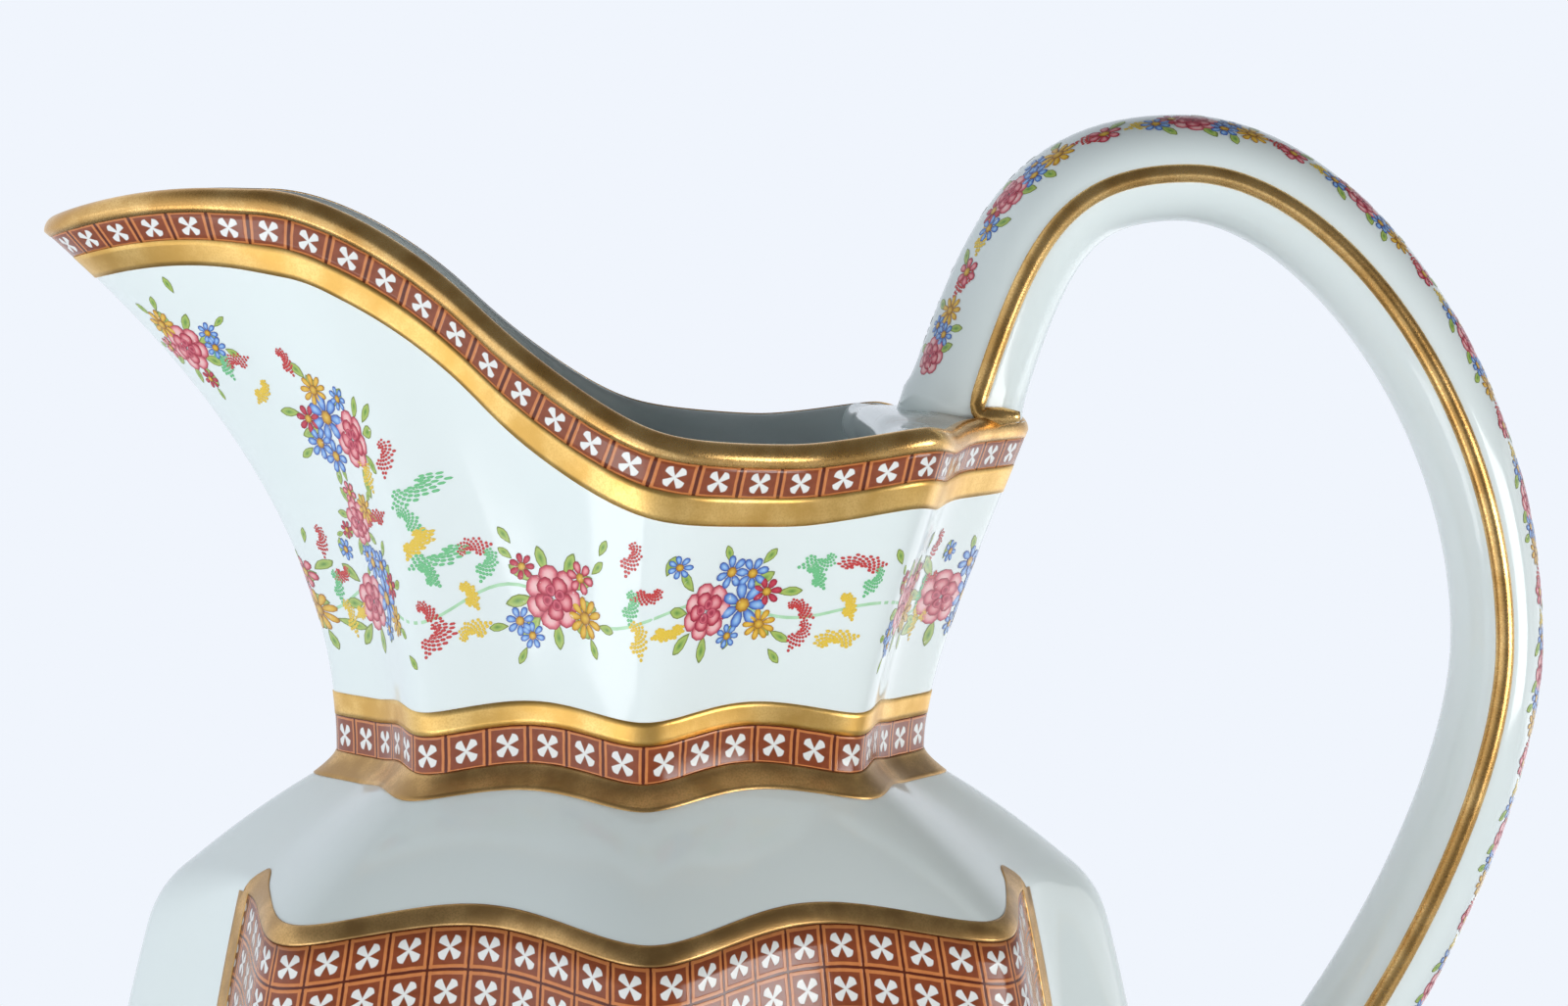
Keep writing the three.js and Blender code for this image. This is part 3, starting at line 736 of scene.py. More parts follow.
def check_print(name, width, height, flower, bars, lines):
    """A printed border: a flower in each cell, orange bars at its sides, lines along its edges."""
    made, tree, shader, place = new_finish(name)

    def act(operation, *values):
        return reckon(tree, operation, *values)

    def in_cell(value, size):
        return act("MULTIPLY_ADD", act("FRACT", act("DIVIDE", value, size)), size, -size / 2)

    def stripe(distance, low, high):
        rise = soft_step(tree, distance, low - INK_EDGE, low + INK_EDGE)
        return act("MULTIPLY", rise, soft_step(tree, distance, high + INK_EDGE, high - INK_EDGE))

    flat = print_place(tree)
    stray = act("MULTIPLY_ADD", noise(tree, place, 420.0, 1.0), 0.16, -0.08)
    x = in_cell(act("ADD", flat["X"], stray), width)
    y = in_cell(act("ADD", flat["Y"], stray), height)
    wide, tall = act("ABSOLUTE", x), act("ABSOLUTE", y)
    rising = act("ABSOLUTE", act("MULTIPLY", act("ADD", x, y), 0.7071))
    falling = act("ABSOLUTE", act("MULTIPLY", act("SUBTRACT", x, y), 0.7071))
    length, offside = act("MAXIMUM", rising, falling), act("MINIMUM", rising, falling)
    wedge = act("MULTIPLY_ADD", length, -0.33, offside)
    boxy = act("ADD", act("POWER", wide, 4.0), act("POWER", tall, 4.0))
    reach = act("SUBTRACT", act("POWER", boxy, 0.25), flower)
    white = soft_step(tree, act("MAXIMUM", act("SUBTRACT", wedge, 0.13), reach), 0.07, -0.07)

    to_side, to_edge = act("SUBTRACT", width / 2, wide), act("SUBTRACT", height / 2, tall)
    past_side = soft_step(tree, to_side, bars[0] - 0.1, bars[0])
    inside = act("MULTIPLY", past_side, soft_step(tree, to_edge, lines[0] - 0.1, lines[0]))
    orange = act("MULTIPLY", act("MAXIMUM", stripe(to_side, *bars), stripe(to_edge, *lines)), inside)

    ink = noise(tree, place, 900.0, 3.0)
    brown = blend(tree, ink, (0.185, 0.040, 0.014), (0.300, 0.074, 0.026))
    amber = blend(tree, ink, (0.52, 0.165, 0.050), (0.70, 0.265, 0.085))
    colour = blend(tree, inside, (0.105, 0.020, 0.008), brown)
    colour = blend(tree, orange, colour, amber)
    colour = blend(tree, white, colour, (0.80, 0.82, 0.80))
    relief = act("MULTIPLY_ADD", ink, 0.7, act("MULTIPLY_ADD", white, -0.8, orange))
    feed(
        tree, shader, Base_Color=colour, Roughness=act("MULTIPLY_ADD", ink, 0.22, 0.08),
        Normal=bumps(tree, relief, 0.35, 0.00005),
    )
    return made


panel_print = check_print("panel_checks", PANEL_CELL, PANEL_CELL, 1.62, (0.22, 0.66), (0.22, 0.66))
edge_girth = running_lengths([on_body(flute_turn(column), -4.0) for column in range(COLUMNS + 1)])


def panel_place(row):
    return mix(PANEL_FOOT - SHOULDER[1], PANEL_TOP, row / PANEL_ROWS)


def panel_columns(ridge, inset):
    """First and last column of a panel, from the middle of a flute to the third one on."""
    first = (ridge - 2) * COLUMNS_PER_FLUTE + COLUMNS_PER_FLUTE // 2
    return first + inset, first + 3 * COLUMNS_PER_FLUTE - inset


for ridge, name in PANEL_RIDGES:
    start, end = panel_columns(ridge, 1)

    def on_panel(column, row):
        return on_body(flute_turn(start + column), panel_place(row))

    def panel_girth(column, row):
        girth = edge_girth[start + column] - edge_girth[ridge * COLUMNS_PER_FLUTE]
        return girth, PANEL_TOP - panel_place(row)

    laid_film(
        f"{name}_check_panel", end - start, PANEL_ROWS, on_panel, PRINT_LIFT, panel_print, "transfer",
        f"{name}_panel", panel_girth,
    )

# Gold frames of the panels
# Gold is brushed over the rolled shoulder edge above each panel, down both its sides and along its foot,
# after the print is fired. It is thickest on the edge and rises to a small point at each upper corner.

FRAME_FOOT = 36.4
FRAME_ROLL_ROWS = 10
FRAME_FINE = 3
FRAME_SIDE = 2 * FRAME_FINE
HORN_INSET = 4.6
frame_gold = gilt_finish("frame_gold", (0.78, 0.49, 0.20), (0.46, 0.27, 0.10), 0.26)

for ridge, name in PANEL_RIDGES:
    start, end = panel_columns(ridge, -1)
    columns = (end - start) * FRAME_FINE
    sides = [flute_turn(start), flute_turn(end)]

    def on_gold_frame(column, row):
        turn = flute_turn(start + column / FRAME_FINE)
        if row <= 1:
            return on_body(turn, mix(FRAME_FOOT, PANEL_FOOT, row) - SHOULDER[1])
        if row <= PANEL_ROWS + 1:
            return on_body(turn, panel_place(row - 1))
        inward = math.degrees(min(abs(turn - side) for side in sides))
        top = 1.7 + 1.5 * math.exp(-(((inward - HORN_INSET) / 3.4) ** 2))
        top -= 7.5 * max(1 - inward / HORN_INSET, 0.0) ** 1.8
        return on_body(turn, mix(PANEL_TOP, top, (row - PANEL_ROWS - 1) / FRAME_ROLL_ROWS))

    def on_border(column, row):
        return not (FRAME_SIDE < column < columns - FRAME_SIDE and 1 < row < PANEL_ROWS + 1)

    laid_film(
        f"{name}_gold_frame", columns, PANEL_ROWS + 1 + FRAME_ROLL_ROWS, on_gold_frame, GILT_LIFT, frame_gold,
        "gilding", f"{name}_panel_gilding", keep=on_border,
    )

# Bands of the neck
# From the shoulder up: gold in the hollow cove, a printed check border, and a gold line above it. The films
# follow the waves of the neck's foot and are fired on one after the other.

NECK_BORDER = 5.2
NECK_DROP = 0.5
NECK_GOLD = 3.4
NECK_CELL = 6.1
COVE_RUN = 4.6
LEAN_EASING = 300
FRONT_COLUMN = 6 * COLUMNS_PER_FLUTE


def rim_leans():
    """Lean of each meridian along the rim that it meets, as a share of its width, evened out."""
    leans = []
    for column in range(COLUMNS):
        along = meridian(column + 4).rim - meridian(column - 4).rim
        up = meridian(column).rim - meridian(column).below_rim(10)
        leans.append(along.dot(up) / along.cross(up).length)
    for _ in range(LEAN_EASING):
        leans = [(leans[n - 1] + leans[n] + leans[(n + 1) % COLUMNS]) / 3 for n in range(COLUMNS)]
    return leans


rim_lean = rim_leans()


def rim_slant(column):
    """How much longer a band of even width is along a meridian that leans along the rim."""
    return math.hypot(1.0, rim_lean[column % COLUMNS])


def neck_band(name, low, high, rows, lift, material, slot, node, from_rim=False, cell=0.0):
    """A film round the neck between two distances in mm from its waist or from its rim."""
    def on_band(column, row):
        distance = mix(low, high, row / rows)
        if distance < 0:
            return on_cove(column, 1 + distance / COVE_RUN)
        if from_rim:
            return meridian(column).below_rim(distance * rim_slant(column))
        return meridian(column).at(distance)

    girth = running_lengths([on_band(column, rows / 2) for column in range(COLUMNS + 1)])
    stretch = cell * round(girth[-1] / cell) / girth[-1] if cell else 1.0

    def on_print(column, row):
        lean = (high - low) * (0.5 - row / rows) * rim_lean[column % COLUMNS] if from_rim else 0.0
        return (girth[column] - girth[FRONT_COLUMN] + lean) * stretch, abs(high - low) * row / rows

    laid_film(name, COLUMNS, rows, on_band, lift, material, slot, node, on_print)


cove_share = (1 - NECK_DROP / COVE_RUN) / COVE_STEPS
laid_film(
    "neck_cove_gold", COLUMNS, COVE_STEPS, lambda column, row: on_cove(column, cove_share * row), GILT_LIFT,
    frame_gold, "gilding", "neck_cove_gilding",
)
neck_print = check_print("neck_checks", NECK_CELL, NECK_DROP + NECK_BORDER, 1.62, (0.26, 0.66), (0.22, 0.54))
neck_band(
    "neck_check_border", -NECK_DROP, NECK_BORDER, 12, PRINT_LIFT, neck_print, "transfer", "neck_border",
    cell=NECK_CELL,
)
neck_band(
    "neck_gold_line", NECK_BORDER, NECK_BORDER + NECK_GOLD, 4, GILT_LIFT, band_gold, "gilding",
    "neck_upper_gilding",
)

# Bands of the rim
# A broad gold line follows the rim from below, then comes a printed check border, and the rolled lip itself
# is gilt over its crown and left white inside. The bands keep their width where the spout sweeps up.

RIM_GOLD = 2.8
RIM_BORDER = 4.5
RIM_LOWER_GOLD = 4.3
RIM_CELL = 6.4
LIP_ROWS = 16
LIP_FLAT_ROWS = 2
LIP_GILT = math.radians(92)

rim_print = check_print("rim_checks", RIM_CELL, RIM_BORDER, 1.50, (0.30, 0.74), (0.05, 0.32))
neck_band(
    "rim_lower_gold", RIM_GOLD + RIM_BORDER + RIM_LOWER_GOLD, RIM_GOLD + RIM_BORDER, 5, GILT_LIFT, band_gold,
    "gilding", "rim_lower_gilding", from_rim=True,
)
neck_band(
    "rim_check_border", RIM_GOLD + RIM_BORDER, RIM_GOLD, 5, PRINT_LIFT, rim_print, "transfer", "rim_border",
    from_rim=True, cell=RIM_CELL,
)


def on_lip(column, row):
    if row <= LIP_FLAT_ROWS:
        foot = RIM_GOLD * rim_slant(column)
        return meridian(column).below_rim(mix(foot, LIP_DROP, row / LIP_FLAT_ROWS))
    return on_rim_roll(column, LIP_GILT * (row - LIP_FLAT_ROWS) / (LIP_ROWS - LIP_FLAT_ROWS))


laid_film("rim_gold_lip", COLUMNS, LIP_ROWS, on_lip, GILT_LIFT, rim_gold, "gilding", "rim_gilding")

# Painted flowers of the neck
# Enamel colours painted over the fired glaze and fired again at low heat: roses, daisies, leaves and stippled
# sprigs in a ring round the neck, with a spray that climbs each flank of the spout.

ROSE_PETAL = ((0.88, 0.56, 0.55), (0.86, 0.46, 0.47), (0.70, 0.17, 0.21), (0.34, 0.01, 0.04))
ROSE_FOLD = ((0.84, 0.42, 0.43), (0.76, 0.24, 0.27), (0.52, 0.05, 0.09), (0.28, 0.01, 0.03))
ROSE_HEART = ((0.30, 0.02, 0.05), (0.44, 0.04, 0.08), (0.66, 0.13, 0.18), (0.36, 0.02, 0.06))
RED_PETAL = ((0.56, 0.06, 0.10), (0.52, 0.04, 0.07), (0.42, 0.02, 0.05), (0.24, 0.01, 0.03))
BLUE_PETAL = ((0.40, 0.60, 0.86), (0.22, 0.43, 0.78), (0.09, 0.20, 0.58), (0.03, 0.05, 0.26))
YELLOW_PETAL = ((0.80, 0.53, 0.09), (0.76, 0.47, 0.05), (0.64, 0.35, 0.02), (0.34, 0.11, 0.01))
LEAF_GREEN = ((0.10, 0.25, 0.05), (0.30, 0.46, 0.10), (0.42, 0.54, 0.13), (0.11, 0.16, 0.03))
EYE_YELLOW = ((0.80, 0.56, 0.07), (0.62, 0.34, 0.03), (0.28, 0.11, 0.01))
STIPPLE_RED = ((0.66, 0.08, 0.07), (0.44, 0.02, 0.03))
STIPPLE_YELLOW = ((0.82, 0.60, 0.08), (0.74, 0.50, 0.04))
STIPPLE_GREEN = ((0.20, 0.60, 0.28), (0.13, 0.48, 0.21))
STEM_GREEN = ((0.46, 0.74, 0.48), (0.38, 0.66, 0.40))
SPRIG_DOTS = 44
SPRIG_STEP = 0.027
SPRIG_CURL = 2.6
SPRIG_SCATTER = 0.618
STEM_WIDTH = 0.24
STEM_LIFT = 0.03
STEM_STEPS = 40

enamel, tree, shader, place = new_finish("painted_enamel")
tone = tree.nodes.new("ShaderNodeVertexColor")
tone.layer_name = "enamel"
stroke = noise(tree, place, 1500.0, 2.0)
thin = soft_step(tree, stroke, 0.66, 0.82)
feed(
    tree, shader, Base_Color=blend(tree, thin, tone.outputs["Color"], (0.86, 0.80, 0.76)),
    Roughness=reckon(tree, "MULTIPLY_ADD", stroke, 0.2, 0.12), Normal=bumps(tree, stroke, 0.3, 0.00006),
)


def new_painting():
    painting = bmesh.new()
    painting.verts.layers.float_color.new("enamel")
    return painting


def turned(at, x, y, angle):
    """The place x across and y along a turned direction from another place."""
    cos, sin = math.cos(angle), math.sin(angle)
    return at[0] + x * cos - y * sin, at[1] + x * sin + y * cos


def paint_patch(brush, middle, outline, tones, lift):
    """One stroke of enamel: rings of colour from its middle to its outline, which runs clockwise."""
    painting, spot = brush
    tints = painting.verts.layers.float_color["enamel"]
    count, steps = len(outline), len(tones) - 1
    made = bmesh.ops.create_grid(painting, x_segments=count, y_segments=steps, size=0.5)
    for vert in made["verts"]:
        n, ring = round((vert.co.x + 0.5) * count) % count, round((vert.co.y + 0.5) * steps)
        u, v = (mix(a, b, (ring / steps) ** 0.8) for a, b in zip(middle, outline[n]))
        vert.co = in_frame(spot(u, v, lift + 0.03 * (1 - ring / steps)))
        vert[tints] = (*tones[ring], 1)


def paint_petal(brush, base, turn, length, width, tones, lift, sides=10, point=0.0):
    """A petal or a leaf that grows from its base; a higher point draws its ends out."""
    outline = []
    for n in range(sides):
        t = 2 * math.pi * n / sides
        reach = 0.5 - 0.5 * math.cos(t)
        side = math.sin(t) * abs(math.sin(t)) ** point
        outline.append(turned(base, -width * side * (0.6 + 0.5 * reach), length * reach, turn))
    paint_patch(brush, turned(base, 0.0, 0.58 * length, turn), outline, tones, lift)


def paint_whorl(brush, at, size, turn, count, inner, outer, width, tones, lift):
    """A ring of petals between two shares of a flower's size."""
    for n in range(count):
        angle = turn + 2 * math.pi * n / count
        base = turned(at, 0.0, inner * size, angle)
        paint_petal(brush, base, angle, (outer - inner) * size, width * size, tones, lift)


def paint_dot(brush, at, size, tones, lift, sides=7):
    outline = [turned(at, size, 0.0, -2 * math.pi * n / sides) for n in range(sides)]
    paint_patch(brush, at, outline, tones, lift)


def paint_rose(brush, at, size, turn):
    """Three whorls of petals, each smaller, darker and higher than the one round it."""
    paint_whorl(brush, at, size, turn, 7, 0.30, 1.0, 0.40, ROSE_PETAL, 0.06)
    paint_whorl(brush, at, size, turn + 0.5, 5, 0.10, 0.70, 0.34, ROSE_FOLD, 0.10)
    paint_whorl(brush, at, size, turn + 0.2, 4, 0.04, 0.42, 0.20, ROSE_HEART, 0.14)


def paint_daisy(brush, at, size, turn, tones, count):
    paint_whorl(brush, at, size, turn, count, 0.20, 1.0, 1.9 / count, tones, 0.07)
    paint_dot(brush, at, 0.32 * size, EYE_YELLOW, 0.11)


def paint_leaf(brush, at, size, turn):
    paint_petal(brush, at, turn, size, 0.25 * size, LEAF_GREEN, 0.04, 12, 0.8)


def paint_sprig(brush, at, size, turn, tones, dot):
    """A stippled sprig: a tuft of small dots, full at its foot and thin where it curls over."""
    for n in range(SPRIG_DOTS):
        share = n / (SPRIG_DOTS - 1)
        heading = turn + SPRIG_CURL * share * share
        at = turned(at, SPRIG_STEP * size, 0.0, heading)
        aside = size * (0.29 - 0.15 * share) * (2 * ((n * SPRIG_SCATTER) % 1) - 1)
        pair = tones if n % 2 == 0 else tones[::-1]
        place = turned(at, 0.0, aside, heading)
        paint_dot(brush, place, dot * (0.74 - 0.18 * share), pair, 0.05 + 0.003 * (n % 4), 6)


def paint_stem(painting, points):
    """A thin stem from point to point, each a ground and a rise on it in mm."""
    tints = painting.verts.layers.float_color["enamel"]
    count = len(points) - 1
    made = bmesh.ops.create_grid(painting, x_segments=count, y_segments=1, size=0.5)
    for vert in made["verts"]:
        n, side = round((vert.co.x + 0.5) * count), vert.co.y
        spot, rise = points[n]
        vert.co = in_frame(spot(0.0, rise + 2 * STEM_WIDTH * side, STEM_LIFT))
        vert[tints] = (*STEM_GREEN[n % 2], 1)


MOTIFS = {
    "rose": (paint_rose,), "leaf": (paint_leaf,),
    "red": (paint_daisy, RED_PETAL, 7), "pink": (paint_daisy, ROSE_FOLD, 6),
    "blue": (paint_daisy, BLUE_PETAL, 7), "yellow": (paint_daisy, YELLOW_PETAL, 9),
    "red_sprig": (paint_sprig, STIPPLE_RED, 0.36), "yellow_sprig": (paint_sprig, STIPPLE_YELLOW, 0.42),
    "green_sprig": (paint_sprig, STIPPLE_GREEN, 0.38),
}


def paint_motif(painting, spot, kind, u, v, size, turn):
    """Paints one flower, leaf or sprig, and adds it to the painting."""
    motif = new_painting()
    paint, *tones = MOTIFS[kind]
    paint((motif, spot), (u, v), size, turn, *tones)
    bmesh.ops.remove_doubles(motif, verts=motif.verts, dist=WELD)
    mesh = meshed(motif, "motif")
    painting.from_mesh(mesh)
    bpy.data.meshes.remove(mesh)


def motifs(layout):
    """The motifs of a layout one by one, each with its kind first."""
    return [(kind, *measures) for kind, places in layout.items() for measures in places]


def paint_posy(painting, spot, posy, scale=1.0, turn=0.0, flip=1):
    """A bunch of motifs round a spot: scaled, turned, or mirrored with a flip of -1."""
    for kind, u, v, size, lean in motifs(posy):
        x, y = turned((0.0, 0.0), scale * u, scale * v, turn)
        paint_motif(painting, spot, kind, flip * x, y, scale * size, flip * (lean + turn))


def neck_point(column, distance):
    low = math.floor(column)
    return meridian(low).at(distance).lerp(meridian(low + 1).at(distance), column - low)


def neck_spot(column, distance):
    """Ground round a spot of the neck: mm across and up from the spot, and mm above the glaze."""
    across = neck_point(column + 1, distance) - neck_point(column - 1, distance)
    up = neck_point(column, distance + 1) - neck_point(column, distance - 1)
    normal = across.cross(up)
    lean = across.dot(up) / normal.length
    pitch = across.length / 2 / math.hypot(1.0, lean)
    normal.normalize()
    return lambda u, v, lift: neck_point(column + u / pitch, distance + v - u * lean) + normal * lift


GARLAND_LINE = 24.0
GARLAND_REPEATS = 5
GARLAND_SPAN = 58.0
ROSE_POSY_PLACE = -14.6
BLUE_POSY_PLACE = 13.0
ROSE_POSY = {
    "leaf": [
        (3.2, 1.6, 4.6, -1.1), (2.0, 3.0, 4.4, -0.5), (-1.0, 3.4, 4.2, 0.3), (-2.8, 2.2, 4.8, 1.0),
        (-3.4, -0.2, 4.4, 1.7), (-2.4, -2.6, 4.8, 2.4), (0.2, -3.4, 4.2, 3.2), (2.8, -2.4, 4.4, -2.3),
        (3.6, -0.4, 4.2, -1.7), (7.2, 4.2, 3.2, -0.9), (8.0, -3.2, 3.4, -1.8), (6.2, -5.2, 3.2, -2.8),
        (-7.6, -4.0, 3.0, 1.5), (-5.0, -7.2, 2.8, 2.6), (-6.2, 5.6, 2.6, 0.8),
    ],
    "rose": [(0.0, 0.0, 4.8, 0.2)],
    "pink": [(5.0, 3.4, 2.5, 0.3)],
    "yellow": [(5.4, -2.4, 3.2, 0.1)],
    "blue": [(-5.8, -3.4, 2.2, 0.4), (-4.0, -5.6, 2.0, 0.0)],
    "red": [(-4.8, 4.4, 2.0, 0.2)],
}
BLUE_POSY = {
    "leaf": [
        (-7.6, 2.6, 4.4, 0.8), (-8.4, -0.6, 4.2, 1.5), (-7.4, -3.6, 4.6, 2.3), (-4.6, -4.2, 4.2, 3.1),
        (2.4, 2.4, 4.0, -0.9), (2.8, -2.4, 4.2, -2.2), (0.2, -3.0, 4.0, 2.9), (-1.4, 6.4, 3.0, 0.4),
        (3.6, 6.0, 3.0, -0.6), (6.4, 1.6, 3.4, -1.3), (6.2, -4.2, 3.2, -2.0),
    ],
    "rose": [(-4.8, -0.6, 4.4, 1.1)],
    "blue": [(-1.2, 5.0, 2.6, 0.1), (2.2, 4.6, 2.5, 0.5), (1.4, -0.2, 3.6, 0.2), (-0.4, -4.8, 1.9, 0.2)],
    "red": [(4.8, 1.8, 2.2, 0.4)],
    "yellow": [(4.4, -3.2, 2.5, 0.2)],
}
GARLAND_SPRIGS = {
    "yellow_sprig": [
        (-25.6, -5.2, 4.6, 2.6), (-27.6, -1.4, 3.6, 1.2), (-1.8, -5.6, 4.8, 0.9), (1.2, -2.2, 3.4, -0.5),
    ],
    "red_sprig": [
        (-24.4, 6.2, 4.4, 2.4), (-3.4, 6.8, 4.4, 0.4), (-1.6, 3.4, 3.8, -0.6), (22.4, -6.4, 4.4, 0.3),
        (24.6, -2.6, 3.8, 1.8),
    ],
    "green_sprig": [
        (-26.2, 3.2, 4.2, 0.3), (-3.2, -0.4, 4.2, 0.6), (22.6, 6.4, 4.6, -0.5), (25.2, 2.4, 3.6, 1.4),
    ],
    "leaf": [
        (-20.8, 7.2, 3.0, 0.6), (2.2, 6.0, 3.2, -0.3), (-6.6, 7.8, 2.8, -0.5), (19.6, -7.4, 3.0, -2.4),
    ],
    "blue": [(3.8, 7.2, 1.8, 0.2)],
}
SPOUT_POSIES = [
    (ROSE_POSY, 191, 66.0, 0.86, 2.2), (BLUE_POSY, 207, 50.0, 1.02, 2.4), (ROSE_POSY, 204, 35.0, 0.74, 0.9),
]
SPOUT_SPRIGS = {
    "green_sprig": [(194, 60.5, 4.2, 0.6), (221, 39.4, 4.8, -0.2), (227, 34.4, 4.4, 1.6)],
    "red_sprig": [
        (198, 61.6, 4.4, 2.2), (203, 58.6, 3.8, 0.8), (218, 43.4, 4.6, 0.5), (214, 36.0, 4.0, 2.6),
    ],
    "yellow_sprig": [(196, 56.6, 4.0, -0.4), (211, 40.6, 4.6, 0.9), (222, 31.6, 3.8, 0.2)],
    "leaf": [(216, 50.4, 3.4, -0.8), (196, 75.4, 3.0, -0.2)],
}
garland_girth = running_lengths([meridian(column).at(GARLAND_LINE) for column in range(COLUMNS + 1)])


def garland_spot(repeat, along):
    """Ground on the garland's line, at a place along one of its repeats."""
    pitch = garland_girth[-1] / GARLAND_REPEATS
    girth = repeat * pitch + along * pitch / GARLAND_SPAN + garland_girth[FRONT_COLUMN]
    n, share = step_at(garland_girth, girth % garland_girth[-1])
    return neck_spot(n - 1 + share, GARLAND_LINE)


def stem_rise(along):
    return 2.0 * math.sin(4 * math.pi * along / GARLAND_SPAN) - 0.6


painting = new_painting()
stem = [GARLAND_SPAN * (n / STEM_STEPS - 0.5) for n in range(STEM_STEPS + 1)]
for repeat in range(GARLAND_REPEATS):
    paint_stem(painting, [(garland_spot(repeat, along), stem_rise(along)) for along in stem])
    for kind, along, rise, size, turn in motifs(GARLAND_SPRIGS):
        paint_motif(painting, garland_spot(repeat, along), kind, 0.0, rise, size, turn)
    paint_posy(painting, garland_spot(repeat, ROSE_POSY_PLACE), ROSE_POSY)
    paint_posy(painting, garland_spot(repeat, BLUE_POSY_PLACE), BLUE_POSY)
for flank, side in ((0, 1), (COLUMNS, -1)):
    for posy, column, distance, scale, turn in SPOUT_POSIES:
        paint_posy(painting, neck_spot(abs(flank - column), distance), posy, scale, turn, side)
    for kind, column, distance, size, turn in motifs(SPOUT_SPRIGS):
        paint_motif(painting, neck_spot(abs(flank - column), distance), kind, 0.0, 0.0, size, side * turn)
fired_piece(painting, "neck_flowers", enamel, "transfer")

# Painted flowers of the handle
# Two rows of small flowers and leaves in the same enamels along the outer face of the loop, from its root to
# the joint with the body.

HANDLE_FLOWERS = {
    "leaf": [
        (-1.2, 0.6, 2.8, 1.4), (1.2, 1.0, 2.8, -1.0), (2.0, 5.6, 2.4, -1.3), (-0.6, 8.6, 2.6, 1.2),
        (0.0, 17.0, 2.6, 0.8), (1.6, 24.6, 2.6, -0.9),
    ],
    "rose": [(0.0, 0.0, 2.5, 0.3)],
    "blue": [(1.4, 4.4, 1.6, 0.2), (-1.0, 5.6, 1.4, 0.5), (0.8, 24.0, 1.7, 0.4)],
    "yellow": [(0.8, 8.8, 1.9, 0.1)],
    "red_sprig": [(-0.4, 12.6, 3.4, 0.4)],
    "pink": [(1.0, 16.0, 1.8, 0.3)],
    "yellow_sprig": [(0.0, 20.0, 3.6, 1.0)],
    "red": [(-0.8, 26.8, 1.7, 0.1)],
}
FLOWERS_SPAN = 30.0
FLOWERS_PITCH = 24.0
FLOWERS_START = 12.0
FLOWERS_BARE = 30.0
FLOWERS_SCALE = 1.2
FLOWER_ROWS = (-5.2, 5.2)


def handle_spot(distance):
    """Ground on the outer face of the handle: mm to its front and along it, and mm above the glaze."""
    return lambda u, v, lift: on_handle(distance + v, u / (HANDLE_WIDTH / 2), lift)


painting = new_painting()
for row in FLOWER_ROWS:
    for n in range(int((handle_length - FLOWERS_BARE) / FLOWERS_PITCH)):
        for kind, across, along, size, turn in motifs(HANDLE_FLOWERS):
            spot = handle_spot(FLOWERS_START + FLOWERS_PITCH * (n + along / FLOWERS_SPAN))
            paint_motif(painting, spot, kind, row + across, 0.0, FLOWERS_SCALE * size, turn)
fired_piece(painting, "handle_flowers", enamel, "transfer")

# Studio
# A pale table under the jug with two white cards lying on it, soft lights low in front and on both sides, a
# room that is pale behind and at the left and dark above the camera, and the photograph's camera.

TABLE_RADIUS = 0.8
CARD_HEIGHT = 0.012
CAMERA_PLACE = (axis_x - 0.0271, -0.7103, 0.2758)
PHOTO_WIDTH = 1600
FOCUS_IN_PIXELS = 4900
SENSOR_WIDTH = 36.0

table, tree, shader, place = new_finish("pale_table")
haze = noise(tree, place, 3.0, 2.0)
outward = add_node(tree, "ShaderNodeVectorMath", Vector=place)
outward.operation = "LENGTH"
rays = tree.nodes.new("ShaderNodeLightPath")
feed(
    tree, shader, Base_Color=blend(tree, haze, (0.86, 0.89, 0.93), (0.90, 0.92, 0.95)),
    Roughness=0.6, Alpha=soft_step(tree, outward.outputs["Value"], 0.56, 0.26),
    Emission_Color=(0.87, 0.91, 0.98),
    Emission_Strength=reckon(tree, "MULTIPLY", rays.outputs["Is Camera Ray"], 0.4),
)
bm = bmesh.new()
bmesh.ops.create_circle(bm, cap_ends=True, segments=96, radius=TABLE_RADIUS)
table_top = put_in("table_top", meshed(bm, "table_top"))
table_top.data.materials.append(table)

world = bpy.data.worlds.new("pale_room")
bpy.context.scene.world = world
world.use_nodes = True
tree = world.node_tree
direction = tree.nodes.new("ShaderNodeTexCoord").outputs["Generated"]
way = add_node(tree, "ShaderNodeSeparateXYZ", Vector=direction).outputs
rays = tree.nodes.new("ShaderNodeLightPath")
sideways = reckon(tree, "MULTIPLY_ADD", way["Y"], -0.5, reckon(tree, "MULTIPLY", way["X"], 0.6))
above_camera = reckon(tree, "MULTIPLY_ADD", way["Z"], 0.9, sideways)
dark = blend(tree, rays.outputs["Is Glossy Ray"], (0.0, 0.0, 0.0), (0.15, 0.155, 0.16))
room = blend(tree, soft_step(tree, above_camera, 0.0, 0.45), (0.84, 0.89, 0.96), dark)
seen = blend(tree, rays.outputs["Is Camera Ray"], room, (0.872, 0.913, 0.982))
feed(tree, tree.nodes["Background"], Color=seen, Strength=1.0)


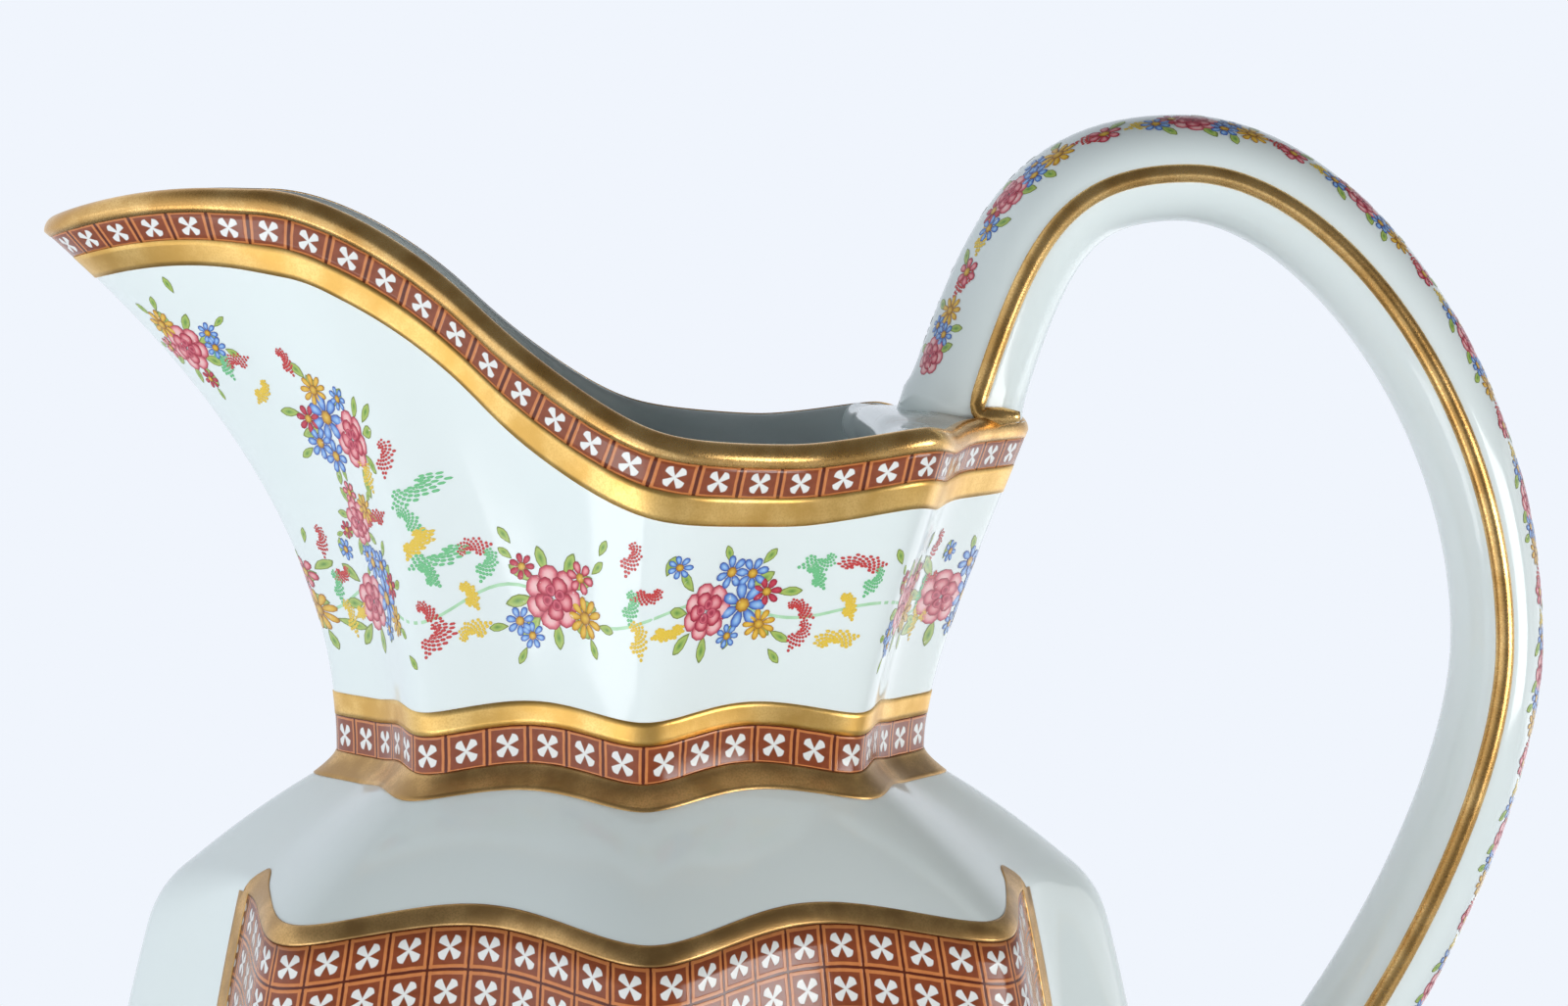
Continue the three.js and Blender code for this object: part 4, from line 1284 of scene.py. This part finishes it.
def soft_light(name, place, aim, size, power, mirrored=True, lit=True):
    """A soft lamp or a bright card, which the glaze mirrors and which lights the jug."""
    lamp = bpy.data.lights.new(name, "AREA")
    lamp.shape = "RECTANGLE"
    lamp.size, lamp.size_y = size
    lamp.energy = power
    holder = put_in(name, lamp)
    holder.location = place
    holder.rotation_euler = (Vector(aim) - Vector(place)).to_track_quat("-Z", "Y").to_euler()
    holder.visible_camera = False
    holder.visible_glossy = mirrored
    holder.visible_diffuse = lit


def lying_card(name, x, y, size, power, lit=True):
    soft_light(name, (x, y, CARD_HEIGHT), (x, y, 1.0), size, power, lit=lit)


jug = (axis_x, 0, 0.2)
soft_light("left_soft_light", (axis_x - 0.28, -0.70, 0.22), jug, (0.70, 0.10), 1.6, mirrored=False)
lying_card("left_card", axis_x - 0.34, -0.28, (0.34, 0.22), 0.66)
soft_light("side_soft_light", (axis_x - 0.95, -0.25, 0.22), jug, (0.6, 0.4), 0.3)
soft_light("back_soft_light", (axis_x, 0.60, 0.95), (axis_x, 0.12, 0), (1.0, 0.7), 0.1)
soft_light("right_soft_light", (axis_x + 0.80, -0.40, 0.20), jug, (0.5, 0.36), 3.8)
soft_light("right_card", (axis_x + 0.85, 0.30, 0.20), jug, (0.6, 0.4), 0.5, lit=False)
lying_card("table_card", axis_x + 0.60, 0.64, (0.65, 0.65), 0.8, lit=False)
soft_light(
    "front_soft_light", (axis_x + 0.12, -0.85, 0.18), (axis_x, 0, 0.18), (0.4, 0.1), 1.1, mirrored=False
)

heading, pitch, roll = math.radians(4.0), math.radians(3.78), math.radians(0.3)
stand = Matrix.Translation(CAMERA_PLACE)
for angle, axis in ((-heading, "Z"), (math.pi / 2 - pitch, "X"), (roll, "Z")):
    stand @= Matrix.Rotation(angle, 4, axis)
lens = bpy.data.cameras.new("photo_camera")
lens.sensor_width = SENSOR_WIDTH
lens.lens = SENSOR_WIDTH * FOCUS_IN_PIXELS / PHOTO_WIDTH
lens.clip_start = 0.01
camera = put_in("photo_camera", lens)
camera.matrix_world = stand
bpy.context.scene.camera = camera
bpy.context.scene.view_settings.view_transform = "Standard"
